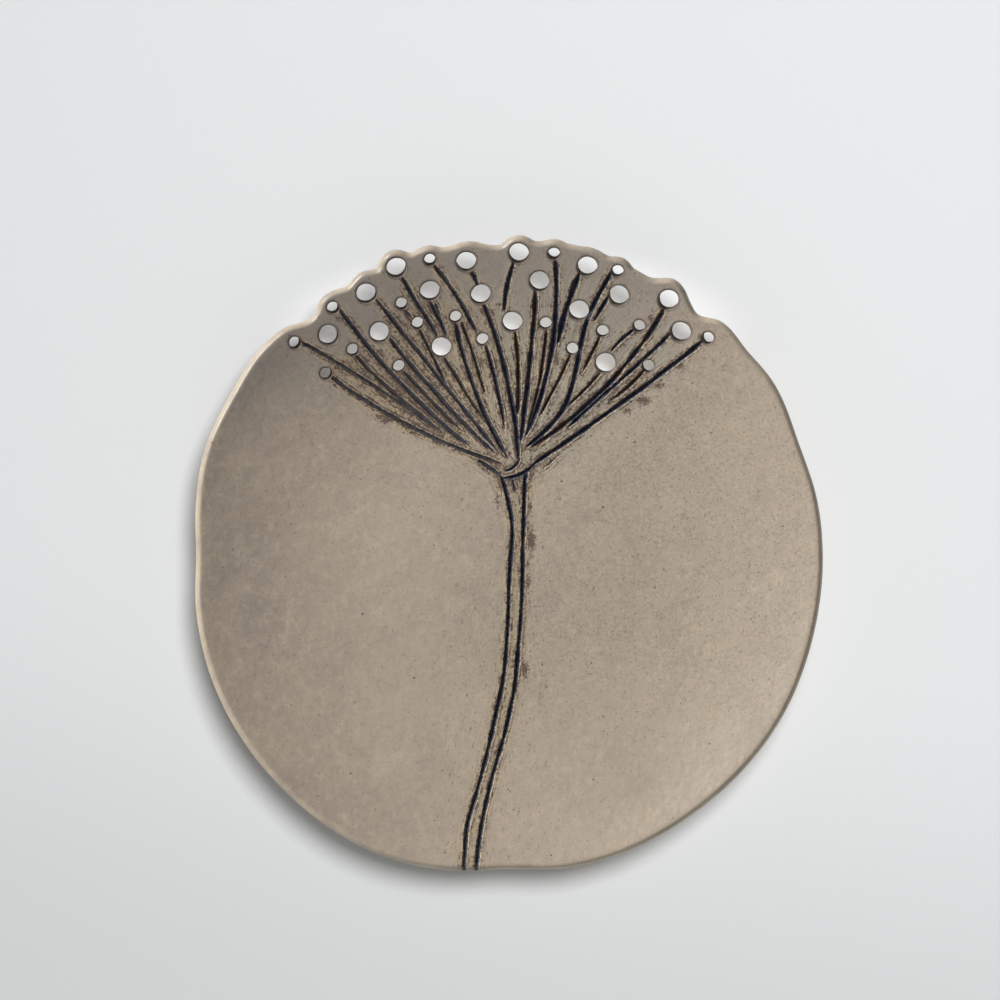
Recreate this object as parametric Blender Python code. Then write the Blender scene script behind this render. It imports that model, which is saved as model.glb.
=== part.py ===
"""A hand-built stoneware wall plate, one piece of clay, carved and pierced with a flower umbel.

Units are metres and +Z is up. The plate hangs upright, faces -Y and touches the wall at y = 0 with
its foot ring. The origin is on the ring's flat back, at the ring's top. The plate is drawn flat
first, as points (across, up) from its own middle, and then lifted to the depth of its surface.
"""
import math
from typing import NamedTuple

import bmesh
import bpy
import numpy as np
from mathutils import Vector
from mathutils.geometry import delaunay_2d_cdt

MM = 0.001

# The slab and its dish
RADIUS = 120 * MM          # nominal radius, which the outline and the carving follow
WALL = 5 * MM              # thickness of the clay
WELL_RADIUS = 50 * MM      # flat middle of the dish
DISH_DEPTH = 14 * MM       # how far the rim comes forward of the middle
LIP_ROUND = 1.5 * MM       # how far the rounded lip stands out from the slab's edge

# The foot ring, with its two cord holes
FOOT_RADIUS = 55 * MM
FOOT_WIDTH = 6 * MM
FOOT_HEIGHT = 7 * MM
FOOT_DRAFT = 0.8 * MM      # each side of the ring is this much wider at its root
CORD_HOLE = 3.5 * MM
CORD_SPREAD = math.radians(22)

# The tools that made the carving
BIG_DRILL = 7.5 * MM
SMALL_DRILL = 4.5 * MM
COLLAR = 3.3 * MM          # clay left around the outer holes, which scallops the rim
COLLAR_BLEND = 0.8 * MM    # softness of the corner where a collar meets the rim
OUTER_SHARE = 91           # holes further out than this get a collar
CUT_START = 0.5 * MM       # clay left between a hole and any cut beside it
CUT_STEEPNESS = 0.75       # depth of a cut for its width
FINE_CUT = 1.2 * MM        # widths of the rays and of the stem's two lines
MIDDLE_CUT = 1.5 * MM
BROAD_CUT = 1.8 * MM
STEM_CUT = 1.6 * MM

# How finely the solid is faceted
RIM_STEP = math.radians(3)
SCALLOP_STEP = math.radians(1.25)
SCALLOPS = (math.radians(40), math.radians(142))
LIP_STEPS = 4
RING_SIDES = 48
CUT_STEP = 6 * MM
ROW_STEP = 12 * MM
ROW_CLEARANCE = 2.2 * MM
DRILL_SIDE = 1.3 * MM
SAME_POINT = 0.001 * MM

# Shares below are hundredths of RADIUS, from the plate's middle
SHARE = RADIUS / 100


class Floret(NamedTuple):
    """One hole and the ray cut from it towards the stem. A floret without a cut has no ray."""
    across: float
    up: float
    drill: float
    leaves: float = 0.0         # clock direction in degrees in which the ray leaves the hole
    foot_across: float = 0.0
    foot_up: float = 0.0
    bow: float = 0.0            # rise of the ray's arc, to the left of its run
    cut: float = 0.0
    sway: float = 0.0           # S-bend of the ray, to the left first


class Stroke(NamedTuple):
    """A short cut that starts at no hole."""
    across: float
    up: float
    foot_across: float
    foot_up: float
    bow: float
    cut: float


UMBEL = (
    Floret(-67.5, 66.5, SMALL_DRILL, 8, -21.0, 38.5, 0.7, FINE_CUT),
    Floret(-58.0, 57.0, SMALL_DRILL, -30, -2.0, 28.5, -2.7, MIDDLE_CUT),
    Floret(-55.5, 77.5, SMALL_DRILL, -5, -12.5, 34.0, -2.1, MIDDLE_CUT),
    Floret(-57.0, 69.0, BIG_DRILL),
    Floret(-45.0, 82.0, BIG_DRILL, -30, -4.0, 33.0, 0.2, MIDDLE_CUT),
    Floret(-35.5, 90.0, BIG_DRILL, -60, -23.0, 69.5, 0.0, MIDDLE_CUT),
    Floret(-49.5, 64.5, SMALL_DRILL, -60, -25.0, 42.0, -1.0, FINE_CUT),
    Floret(-41.0, 70.0, BIG_DRILL, -25, -4.5, 32.0, -1.1, MIDDLE_CUT),
    Floret(-35.0, 59.5, SMALL_DRILL, -50, -15.0, 39.0, -0.3, FINE_CUT),
    Floret(-34.0, 79.0, SMALL_DRILL, -72, -31.0, 75.0, 0.0, FINE_CUT),
    Floret(-29.0, 73.0, SMALL_DRILL, -74, -20.0, 53.5, 0.0, FINE_CUT),
    Floret(-25.0, 83.0, BIG_DRILL, -90, -20.0, 69.5, 0.0, MIDDLE_CUT),
    Floret(-21.5, 65.5, BIG_DRILL, -75, -7.5, 42.0, -0.3, FINE_CUT),
    Floret(-25.0, 92.5, SMALL_DRILL, -52, -10.4, 70.5, 0.7, MIDDLE_CUT),
    Floret(-8.5, 68.0, SMALL_DRILL, -60, -1.5, 40.0, 0.4, MIDDLE_CUT),
    Floret(-17.0, 75.0, SMALL_DRILL, -90, -0.5, 30.5, -1.9, BROAD_CUT),
    Floret(-13.5, 92.0, BIG_DRILL, -60, -10.2, 85.4, 0.0, BROAD_CUT),
    Floret(-9.0, 82.0, BIG_DRILL, -72, 3.0, 29.5, 2.1, BROAD_CUT),
    Floret(3.0, 94.6, BIG_DRILL, -120, -1.5, 77.5, -0.6, BROAD_CUT),
    Floret(1.0, 73.5, BIG_DRILL, -75, 2.5, 43.0, 0.8, MIDDLE_CUT),
    Floret(9.5, 86.0, BIG_DRILL, -113, 3.5, 35.0, 0.6, BROAD_CUT),
    Floret(11.5, 73.0, SMALL_DRILL, -83, 5.5, 38.5, 0.9, FINE_CUT),
    Floret(14.0, 94.5, SMALL_DRILL, -76, 5.0, 37.0, 3.8, BROAD_CUT),
    Floret(24.5, 90.5, BIG_DRILL, -140, 15.5, 67.0, -0.6, BROAD_CUT),
    Floret(22.0, 77.0, BIG_DRILL),
    Floret(34.0, 89.0, SMALL_DRILL, -170, 5.0, 33.5, 3.2, BROAD_CUT, -2.8),
    Floret(34.5, 81.5, BIG_DRILL, -177, 27.0, 74.0, 0.0, MIDDLE_CUT),
    Floret(20.0, 65.0, SMALL_DRILL, -105, 9.5, 43.5, 0.3, FINE_CUT),
    Floret(29.5, 70.5, SMALL_DRILL, -115, 23.0, 57.0, 0.0, FINE_CUT),
    Floret(30.5, 60.5, BIG_DRILL, -117, 13.5, 42.0, 0.2, FINE_CUT),
    Floret(41.0, 72.0, SMALL_DRILL, -145, 32.5, 64.5, -0.4, MIDDLE_CUT),
    Floret(50.0, 80.0, BIG_DRILL, -112, 6.5, 33.5, 3.8, BROAD_CUT),
    Floret(54.0, 70.0, BIG_DRILL, -173, 18.5, 40.0, 0.2, MIDDLE_CUT),
    Floret(44.0, 59.5, SMALL_DRILL, -132, 32.0, 48.5, 0.6, MIDDLE_CUT),
    Floret(62.5, 68.0, SMALL_DRILL, -150, 7.0, 28.0, 0.9, BROAD_CUT),
)

STROKES = (
    Stroke(-15.0, 73.0, -8.0, 51.5, 0.4, FINE_CUT),
    Stroke(-9.5, 29.5, -3.0, 25.0, 0.0, MIDDLE_CUT),
    Stroke(-1.5, 24.0, 8.0, 28.5, -1.0, MIDDLE_CUT),
)

# The stem's two cuts: height, place across and distance between them
STEM = (
    (23.5, 1.4, 7.0), (19.5, 2.0, 5.8), (8.2, 2.7, 3.5), (-5.7, 2.2, 4.1), (-30.2, 1.0, 3.9),
    (-40.3, 0.0, 3.9), (-52.2, -2.3, 4.2), (-75.8, -8.5, 3.9), (-84.3, -10.7, 4.4), (-96.0, -12.2, 3.9),
)

# The hand-cut outline before its collars: clock angle in degrees, distance from the middle
OUTLINE = (
    (0, 98.9), (10, 98.6), (20, 97.8), (34, 99.3), (40, 98.7), (48, 99.0), (52, 96.3), (55, 98.4),
    (59, 100.8), (63, 98.0), (66, 98.2), (74, 99.4), (78, 99.6), (84, 99.2), (88, 98.4), (93, 97.6),
    (97, 99.2), (101, 98.9), (107, 100.1), (114, 98.8), (118, 100.3), (121, 98.8), (124, 99.9),
    (127, 99.0), (130, 97.4), (135, 100.6), (140, 101.7), (150, 101.3), (162, 101.5), (172, 100.0),
    (180, 98.9), (190, 100.4), (205, 102.0), (222, 102.7), (250, 102.8), (260, 101.3), (270, 99.4),
    (280, 100.6), (290, 100.9), (305, 100.4), (330, 100.2), (345, 99.3),
)

GLAZE = (0.36, 0.30, 0.24, 1.0)
GLAZE_ROUGHNESS = 0.42


def smooth_through(keys, values, at):
    """A smooth curve through the values at the keys, read at new keys (cubic, slopes from neighbours)."""
    slopes = np.gradient(values, keys, axis=0)
    left = np.clip(np.searchsorted(keys, at, side="right") - 1, 0, len(keys) - 2)
    gap = (keys[left + 1] - keys[left])
    t = (at - keys[left]) / gap
    if values.ndim > 1:
        t, gap = t[:, None], gap[:, None]
    rest = 1 - t
    return (values[left] * rest**2 * (1 + 2 * t) + values[left + 1] * t**2 * (1 + 2 * rest)
            + gap * t * rest * (slopes[left] * rest - slopes[left + 1] * t))


def rim_radius(angle):
    """Distance from the middle to the rim: the hand-cut outline, softly joined to the collars."""
    marks = np.array(OUTLINE, float)
    turn = np.array([360, 0])
    marks = np.vstack([marks[-3:] - turn, marks, marks[:3] + turn])
    bare = smooth_through(np.radians(marks[:, 0]), marks[:, 1] * SHARE, angle)
    total = np.ones_like(bare)
    for floret in UMBEL:
        if math.hypot(floret.across, floret.up) < OUTER_SHARE:
            continue
        away = math.hypot(floret.across, floret.up) * SHARE
        turned = angle - math.atan2(floret.up, floret.across)
        collar = floret.drill / 2 + COLLAR
        beside = away * np.sin(turned)
        reach = away * np.cos(turned) + np.sqrt(np.maximum(collar**2 - beside**2, 0))
        crosses = (np.abs(beside) < collar) & (np.cos(turned) > 0)
        total += np.where(crosses, np.exp((reach - bare) / COLLAR_BLEND), 0)
    return bare + COLLAR_BLEND * np.log(total)


def rise(radius):
    """How far the dish has come forward at a radius: flat well, then a rising curve to the rim."""
    return DISH_DEPTH * (np.maximum(radius - WELL_RADIUS, 0) / (RADIUS - WELL_RADIUS)) ** 2


def tilt(radius):
    """Angle of the slab from the wall at a radius."""
    span = RADIUS - WELL_RADIUS
    return np.arctan(2 * DISH_DEPTH * np.maximum(radius - WELL_RADIUS, 0) / span**2)


def front_depth(radius):
    return -(FOOT_HEIGHT + WALL + rise(radius))


def back_depth(radius):
    """The slab's back: the front moved square to itself through the thickness of the clay."""
    front = np.linspace(0, 1.1 * RADIUS, 400)
    moved = front + WALL * np.sin(tilt(front))
    return np.interp(radius, moved, front_depth(front) + WALL * np.cos(tilt(front)))


def foot_depth(radius):
    """The back with the foot ring standing on it, its sides a little wider at the root."""
    inner = FOOT_RADIUS - FOOT_WIDTH
    sides = [inner - FOOT_DRAFT, inner, FOOT_RADIUS, FOOT_RADIUS + FOOT_DRAFT]
    return back_depth(radius) * (1 - np.interp(radius, sides, [0, 1, 1, 0]))


def clear_of_holes(points):
    """How far flat points are from the clay that has to stay around the nearest hole."""
    nearest = np.full(len(points), np.inf)
    for floret in UMBEL:
        away = np.hypot(points[:, 0] - floret.across * SHARE, points[:, 1] - floret.up * SHARE)
        nearest = np.minimum(nearest, away - floret.drill / 2 - CUT_START)
    return nearest


def bowed_cut(head, foot, bow, width, sway=0.0):
    """A cut along a shallow arc: its stations, and its widths, which run out to a point at each end.

    It stops where it meets the clay around a hole, and narrows where it passes close to one.
    """
    head, foot = np.array(head), np.array(foot)
    run = foot - head
    length = math.hypot(*run)
    side = np.array([-run[1], run[0]]) / length

    def arc(t):
        beside = 4 * bow * t * (1 - t) + sway * np.sin(2 * math.pi * t)
        return head + t[:, None] * run + beside[:, None] * side

    tries = np.linspace(0, 1, 200)
    blocked = np.flatnonzero(clear_of_holes(arc(tries)) < -SAME_POINT)
    end = tries[blocked[0] - 1] if len(blocked) else 1.0
    steps = max(3, round(end * length / CUT_STEP))
    path = arc(np.linspace(0, end, steps + 1))
    widths = np.minimum(width, 2 * clear_of_holes(path))
    widths[[0, -1]] = 0
    return path, widths


def umbel_cuts():
    cuts = []
    for floret in UMBEL:
        if not floret.cut:
            continue
        away = math.radians(floret.leaves)
        start = floret.drill / 2 + CUT_START
        head = (floret.across * SHARE + start * math.cos(away), floret.up * SHARE + start * math.sin(away))
        foot = (floret.foot_across * SHARE, floret.foot_up * SHARE)
        cuts.append(bowed_cut(head, foot, floret.bow * SHARE, floret.cut, floret.sway * SHARE))
    for stroke in STROKES:
        head = (stroke.across * SHARE, stroke.up * SHARE)
        foot = (stroke.foot_across * SHARE, stroke.foot_up * SHARE)
        cuts.append(bowed_cut(head, foot, stroke.bow * SHARE, stroke.cut))
    return cuts


def stem_cuts():
    """The stem's two cuts, run down from the umbel to the rim, a little apart."""
    marks = np.array(STEM, float)[::-1] * SHARE
    steps = round((marks[-1, 0] - marks[0, 0]) / CUT_STEP)
    up = np.linspace(marks[-1, 0], marks[0, 0], steps + 1)
    across, apart = smooth_through(marks[:, 0], marks[:, 1:], up).T
    widths = np.full(steps + 1, STEM_CUT)
    widths[[0, -1]] = 0
    return [(np.column_stack([across + side * apart / 2, up]), widths) for side in (-1, 1)]


def carved(points, cuts):
    """Depth of the carving at flat points: each cut is a V, deepest on its line; the deepest counts."""
    deepest = np.zeros(len(points))
    for path, widths in cuts:
        start, run = path[:-1], np.diff(path, axis=0)
        offset = points[:, None] - start
        t = np.clip((offset * run).sum(2) / (run**2).sum(1), 0, 1)
        gap = np.linalg.norm(offset - t[..., None] * run, axis=2)
        width = widths[:-1] + t * np.diff(widths)
        depth = CUT_STEEPNESS * np.maximum(width - 2 * gap, 0)
        deepest = np.maximum(deepest, depth.max(1))
    return deepest


def circle(across, up, radius, sides):
    angle = (np.arange(sides) + 0.5) * 2 * np.pi / sides
    return np.column_stack([across + radius * np.cos(angle), up + radius * np.sin(angle)])


def rim_loops():
    """The rim drawn flat: its silhouette, and the front and back edges set in from it by the lip."""
    low, high = SCALLOPS
    angle = np.concatenate([np.arange(low, high, SCALLOP_STEP), np.arange(high, low + 2 * np.pi, RIM_STEP)])
    radius = rim_radius(np.mod(angle, 2 * np.pi))
    rim = np.column_stack([radius * np.cos(angle), radius * np.sin(angle)])
    along = np.roll(rim, -1, axis=0) - np.roll(rim, 1, axis=0)
    outward = np.column_stack([along[:, 1], -along[:, 0]]) / np.linalg.norm(along, axis=1)[:, None]
    lean = tilt(radius)[:, None]
    reach = np.hypot(LIP_ROUND * np.cos(lean), WALL / 2 * np.sin(lean))
    middle = rim - reach * outward
    shift = WALL / 2 * np.sin(lean) * outward
    return middle - shift, middle + shift, outward, lean


def hole_loops():
    """Each hole drawn flat at the front, and where it comes out at the back, drilled square to the slab."""
    fronts, backs = [], []
    for floret in UMBEL:
        away = math.hypot(floret.across, floret.up)
        sides = round(math.pi * floret.drill / DRILL_SIDE)
        front = circle(floret.across * SHARE, floret.up * SHARE, floret.drill / 2, sides)
        shift = WALL * math.sin(tilt(away * SHARE)) / away
        fronts.append(front)
        backs.append(front + shift * np.array([floret.across, floret.up]))
    return fronts, backs


def shaping_points(kept_clear, edge):
    """Points on rings across the dish, so that its curve is followed where nothing is carved."""
    kept = []
    for radius in np.arange(WELL_RADIUS + ROW_STEP, RADIUS, ROW_STEP):
        ring = circle(0, 0, radius, round(2 * np.pi * radius / ROW_STEP))
        kept.append(ring)
    points = np.vstack(kept)
    inside = np.linalg.norm(points, axis=1) < np.linalg.norm(edge, axis=1).min() - ROW_CLEARANCE
    for crowd in kept_clear:
        gap = np.linalg.norm(points[:, None] - crowd, axis=2).min(1)
        inside &= gap > ROW_CLEARANCE
    return points[inside]


def sheet(outline, holes, rings, cuts, loose):
    """Triangulates a flat drawing. Gives its points, its triangles and the new places of each loop."""
    points, edges = [], []

    def add(chain, closed):
        first = len(points)
        points.extend(Vector(p) for p in chain)
        index = list(range(first, len(points)))
        edges.extend(zip(index, index[1:] + index[:1] if closed else index[1:]))
        return index

    loops = [add(loop, True) for loop in [outline, *holes]]
    for ring in rings:
        add(ring, True)
    for path, widths in cuts:
        along = np.gradient(path, axis=0)
        side = np.column_stack([-along[:, 1], along[:, 0]]) / np.linalg.norm(along, axis=1)[:, None]
        for share in (-0.5, 0, 0.5):
            add(path + share * widths[:, None] * side, False)
    points.extend(Vector(p) for p in loose)
    flat, _, faces, sources, _, owners = delaunay_2d_cdt(points, edges, loops, 0, SAME_POINT, True)
    faces = [face for face, owner in zip(faces, owners) if owner == [0]]
    place = {old: new for new, olds in enumerate(sources) for old in olds}
    return np.array([p[:] for p in flat]), faces, [[place[i] for i in loop] for loop in loops]


def add_sheet(form, flat, faces, depth):
    """Lifts a triangulated drawing to its depth and puts the points that it uses in the mesh."""
    used = sorted({i for face in faces for i in face})
    verts = {i: form.verts.new((flat[i, 0], depth[i], flat[i, 1])) for i in used}
    for face in faces:
        form.faces.new([verts[i] for i in face])
    return verts


def bridge(form, first, second):
    """A band of four-sided faces between two loops of as many points."""
    for i in range(len(first)):
        form.faces.new((first[i - 1], first[i], second[i], second[i - 1]))


def add_lip(form, front, back, outward, lean):
    """Rounds the rim with half an ellipse from the front edge round to the back edge."""
    rows = [front]
    for step in range(1, LIP_STEPS):
        swing = math.pi * step / LIP_STEPS
        row = []
        for i, (near, far) in enumerate(zip(front, back)):
            middle = (near.co + far.co) / 2
            half = (far.co - near.co) / 2
            out = Vector((outward[i, 0], 0, outward[i, 1])) * math.cos(lean[i, 0])
            out.y = -math.sin(lean[i, 0])
            row.append(form.verts.new(middle - math.cos(swing) * half + math.sin(swing) * LIP_ROUND * out))
        rows.append(row)
    rows.append(back)
    for near, far in zip(rows, rows[1:]):
        bridge(form, near, far)


def plate_form():
    """The whole plate as one closed body, with its middle at the origin and its back towards +Y."""
    cuts = umbel_cuts() + stem_cuts()
    front_rim, back_rim, outward, lean = rim_loops()
    front_holes, back_holes = hole_loops()
    well = circle(0, 0, WELL_RADIUS, RING_SIDES)
    cut_points = [path for path, _ in cuts]

    form = bmesh.new()
    loose = shaping_points([*front_holes, *cut_points], front_rim)
    flat, faces, loops = sheet(front_rim, front_holes, [well], cuts, loose)
    depth = front_depth(np.linalg.norm(flat, axis=1)) + carved(flat, cuts)
    front = add_sheet(form, flat, faces, depth)
    front_loops = [[front[i] for i in loop] for loop in loops]

    inner = FOOT_RADIUS - FOOT_WIDTH
    sides = (inner - FOOT_DRAFT, inner, FOOT_RADIUS, FOOT_RADIUS + FOOT_DRAFT)
    rings = [circle(0, 0, radius, RING_SIDES) for radius in sides]
    loose = shaping_points([*back_holes, rings[-1]], back_rim)
    flat, faces, loops = sheet(back_rim, back_holes, rings, [], loose)
    back = add_sheet(form, flat, faces, foot_depth(np.linalg.norm(flat, axis=1)))
    back_loops = [[back[i] for i in loop] for loop in loops]

    add_lip(form, front_loops[0], back_loops[0], outward, lean)
    for near, far in zip(front_loops[1:], back_loops[1:]):
        bridge(form, near, far)
    bmesh.ops.recalc_face_normals(form, faces=form.faces)
    return form


def glaze_material():
    material = bpy.data.materials.new("stoneware_glaze")
    material.use_nodes = True
    shader = material.node_tree.nodes["Principled BSDF"]
    shader.inputs["Base Color"].default_value = GLAZE
    shader.inputs["Roughness"].default_value = GLAZE_ROUGHNESS
    shader.inputs["Metallic"].default_value = 0.0
    return material


def new_object(name, form):
    mesh = bpy.data.meshes.new(name)
    form.to_mesh(mesh)
    form.free()
    piece = bpy.data.objects.new(name, mesh)
    bpy.context.scene.collection.objects.link(piece)
    return piece


def cord_hole_cutter(name, angle, parent):
    """A rod laid along the plate's radius, through the foot ring at half its height."""
    form = bmesh.new()
    bmesh.ops.create_cone(
        form, cap_ends=True, segments=12, radius1=CORD_HOLE / 2, radius2=CORD_HOLE / 2,
        depth=2 * (FOOT_WIDTH + 2 * FOOT_DRAFT))
    cutter = new_object(name, form)
    away = FOOT_RADIUS - FOOT_WIDTH / 2
    cutter.parent = parent
    cutter.location = (away * math.sin(angle), -FOOT_HEIGHT / 2, away * math.cos(angle))
    cutter.rotation_euler = (0, angle, 0)
    cutter.hide_render = True
    cutter.display_type = "WIRE"
    return cutter


def main():
    for piece in list(bpy.data.objects):
        bpy.data.objects.remove(piece)
    plate = new_object("plate", plate_form())
    plate.location = (0, 0, -(FOOT_RADIUS - FOOT_WIDTH / 2))
    plate.data.materials.append(glaze_material())
    plate.data.shade_smooth()
    plate.data.set_sharp_from_angle(angle=math.radians(35))
    for name, angle in (("cord_hole_left", -CORD_SPREAD), ("cord_hole_right", CORD_SPREAD)):
        cut = plate.modifiers.new(name, "BOOLEAN")
        cut.operation = "DIFFERENCE"
        cut.solver = "EXACT"
        cut.object = cord_hole_cutter(name, angle, plate)


main()
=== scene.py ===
# %% [markdown]
# A stoneware wall plate, pierced and carved with a flower umbel.
# The real plate is one piece of clay: a slab pressed into a shallow dish, its rim cut by hand, its
# flower drilled and scratched in with a loop tool while the clay was leather hard, and the scratches
# rubbed with dark oxides before a satin glaze went over everything.
# The frame below is the plain solid of that plate. It is never moved or resized: this script lays one
# finer surface over it, gives it its glaze, and lights it.

import math
from typing import NamedTuple

import bpy
import numpy as np
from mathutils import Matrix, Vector
from mathutils.geometry import delaunay_2d_cdt


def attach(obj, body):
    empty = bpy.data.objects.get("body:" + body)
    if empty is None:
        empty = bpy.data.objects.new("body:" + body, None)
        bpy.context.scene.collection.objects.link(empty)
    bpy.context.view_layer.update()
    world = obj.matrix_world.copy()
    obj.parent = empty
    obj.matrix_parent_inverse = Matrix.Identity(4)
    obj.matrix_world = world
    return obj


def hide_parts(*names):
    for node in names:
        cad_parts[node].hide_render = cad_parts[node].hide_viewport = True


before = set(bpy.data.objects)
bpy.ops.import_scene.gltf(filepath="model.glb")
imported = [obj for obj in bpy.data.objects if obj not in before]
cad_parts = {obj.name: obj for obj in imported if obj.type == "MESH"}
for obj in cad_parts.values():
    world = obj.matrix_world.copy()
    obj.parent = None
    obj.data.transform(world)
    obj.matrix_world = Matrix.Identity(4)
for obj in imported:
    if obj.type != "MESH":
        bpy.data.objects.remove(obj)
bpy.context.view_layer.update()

# %% [markdown]
# Sizes. A potter thinks in millimetres, so every shape here is worked out in millimetres and turned
# into metres in one place, when it goes into a mesh. The plate is drawn flat first, as points
# (across, up) from its own middle, as the potter drew it on the slab. Places in the drawing are
# hundredths of the plate's radius, so that the drawing grows with the plate.

# %% Sizes of the slab
MM = 0.001
RADIUS = 120.0
WALL = 5.0
WELL_RADIUS = 50.0
DISH_DEPTH = 14.0
LIP_ROUND = 1.5
FOOT_RADIUS = 55.0
FOOT_WIDTH = 6.0
FOOT_HEIGHT = 7.0
FOOT_DRAFT = 0.8
SHARE = RADIUS / 100
MIDDLE_DROP = FOOT_RADIUS - FOOT_WIDTH / 2      # the origin is this far above the plate's middle

BIG = 7.5                   # the two drills
SMALL = 4.5
COLLAR = 3.3                # clay left around the outer holes
COLLAR_BLEND = 0.8
OUTER_SHARE = 91            # holes further out than this have a collar that shapes the rim

FINE = 1.2                  # widths of the loop tool's cuts
MIDDLE = 1.5
BROAD = 1.8
STEM_CUT = 1.6
OPEN = 0.6                  # share of its width that a cut has where it leaves a hole or meets a cut

BLUE = 1.0                  # which oxide was rubbed into a cut: cobalt blue-black, or iron brown
MIXED = 0.5
BROWN = 0.0

# %% [markdown]
# The drawing of the umbel. Each floret is a hole, and most have a ray: a cut that leaves the hole in
# some direction and ends near the top of the stem. A ray is nearly straight, so its two ends and the
# rise of its arc say all of its shape. Short strokes and the stem's two lines follow.

# %% The drawing
class Floret(NamedTuple):
    across: float
    up: float
    drill: float
    leaves: float = 0.0         # clock direction in degrees in which the ray leaves the hole
    foot_across: float = 0.0
    foot_up: float = 0.0
    bow: float = 0.0
    width: float = 0.0
    tone: float = BLUE
    foot_open: float = 0.0
    sway: float = 0.0           # S-bend of the ray, to the left first


UMBEL = (
    Floret(-67.5, 66.5, SMALL, 8, -21.0, 38.5, 0.7, FINE, MIXED),
    Floret(-58.0, 57.0, SMALL, -30, -2.0, 28.5, -2.7, MIDDLE, MIXED),
    Floret(-55.5, 77.5, SMALL, -5, -12.5, 34.0, -2.1, MIDDLE, BLUE),
    Floret(-57.0, 69.0, BIG),
    Floret(-45.0, 82.0, BIG, -30, -4.0, 33.0, 0.2, MIDDLE, BLUE),
    Floret(-35.5, 90.0, BIG, -60, -23.0, 69.5, 0.0, MIDDLE, BLUE, OPEN),
    Floret(-49.5, 64.5, SMALL, -60, -25.0, 42.0, -1.0, FINE, BROWN),
    Floret(-41.0, 70.0, BIG, -25, -4.5, 32.0, -1.1, MIDDLE, BLUE),
    Floret(-35.0, 59.5, SMALL, -50, -15.0, 39.0, -0.3, FINE, BROWN),
    Floret(-34.0, 79.0, SMALL, -72, -31.0, 75.0, 0.0, FINE, MIXED, OPEN),
    Floret(-29.0, 73.0, SMALL, -74, -20.0, 53.5, 0.0, FINE, MIXED),
    Floret(-25.0, 83.0, BIG, -90, -20.0, 69.5, 0.0, MIDDLE, BLUE, OPEN),
    Floret(-21.5, 65.5, BIG, -75, -7.5, 42.0, -0.3, FINE, BROWN),
    Floret(-25.0, 92.5, SMALL, -52, -10.4, 70.5, 0.7, MIDDLE, BLUE, OPEN),
    Floret(-8.5, 68.0, SMALL, -60, -1.5, 40.0, 0.4, MIDDLE, BLUE),
    Floret(-17.0, 75.0, SMALL, -90, -0.5, 30.5, -1.9, BROAD, BLUE),
    Floret(-13.5, 92.0, BIG, -60, -10.0, 84.9, 0.0, BROAD, BLUE, OPEN),
    Floret(-9.0, 82.0, BIG, -72, 3.0, 29.5, 2.1, BROAD, BLUE),
    Floret(3.0, 94.6, BIG, -120, -1.5, 77.5, -0.6, BROAD, BLUE, OPEN),
    Floret(1.0, 73.5, BIG, -75, 2.5, 43.0, 0.8, MIDDLE, BROWN),
    Floret(9.5, 86.0, BIG, -113, 3.5, 35.0, 0.6, BROAD, MIXED),
    Floret(11.5, 73.0, SMALL, -83, 5.5, 38.5, 0.9, FINE, BROWN),
    Floret(14.0, 94.5, SMALL, -76, 5.0, 37.0, 3.8, BROAD, BLUE),
    Floret(24.5, 90.5, BIG, -140, 15.5, 67.0, -0.6, 1.2 * BROAD, BLUE, 0.4),
    Floret(22.0, 77.0, BIG),
    Floret(34.0, 89.0, SMALL, -170, 5.0, 33.5, 3.2, BROAD, BLUE, sway=-2.8),
    Floret(34.5, 81.5, BIG, -177, 27.0, 74.0, 0.0, MIDDLE, BLUE, OPEN),
    Floret(20.0, 65.0, SMALL, -105, 9.5, 43.5, 0.3, FINE, BROWN),
    Floret(29.5, 70.5, SMALL, -115, 23.0, 57.0, 0.0, FINE, BROWN),
    Floret(30.5, 60.5, BIG, -117, 13.5, 42.0, 0.2, FINE, BROWN),
    Floret(41.0, 72.0, SMALL, -145, 32.5, 64.5, -0.4, MIDDLE, BLUE, OPEN),
    Floret(50.0, 80.0, BIG, -112, 6.5, 33.5, 3.8, BROAD, MIXED),
    Floret(54.0, 70.0, BIG, -173, 18.5, 40.0, 0.2, MIDDLE, BLUE),
    Floret(44.0, 59.5, SMALL, -132, 32.0, 48.5, 0.6, MIDDLE, BROWN),
    Floret(62.5, 68.0, SMALL, -150, 7.0, 28.0, 0.9, BROAD, BLUE),
)

# Short strokes: from one place (across, up) to another, the rise of the arc, the width and the oxide
STROKES = (
    ((-15.0, 73.0), (-8.0, 51.5), 0.4, FINE, BROWN),
    ((-9.5, 29.5), (-3.0, 25.0), 0.0, MIDDLE, BLUE),
    ((-1.5, 24.0), (8.0, 28.5), -1.0, MIDDLE, BLUE),
    ((-4.2, 68.2), (-2.0, 60.4), 0.2, 0.8 * FINE, BROWN),
    ((-23.4, 79.2), (-22.0, 75.2), 0.0, 0.8 * FINE, MIXED),
    ((3.2, 29.8), (-1.1, 26.3), 0.7, FINE, BLUE),
    ((1.1, 23.6), (2.0, 20.2), 0.0, 0.8 * FINE, BLUE),
    ((15.5, 31.0), (11.0, 27.4), 0.2, 0.4 * FINE, BROWN),
    ((5.6, 26.4), (4.8, 23.2), 0.0, STEM_CUT, BLUE),
)

# The stem's two lines: height, place across and distance between them
STEM = (
    (24.3, 1.2, 7.4), (19.5, 2.0, 5.8), (8.2, 2.7, 3.5), (-5.7, 2.2, 4.1), (-30.2, 1.0, 3.9),
    (-40.3, 0.0, 3.9), (-52.2, -2.3, 4.2), (-75.8, -8.5, 3.9), (-84.3, -10.7, 4.4), (-96.0, -12.2, 3.9),
    (-104.0, -12.6, 3.8),
)

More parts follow.
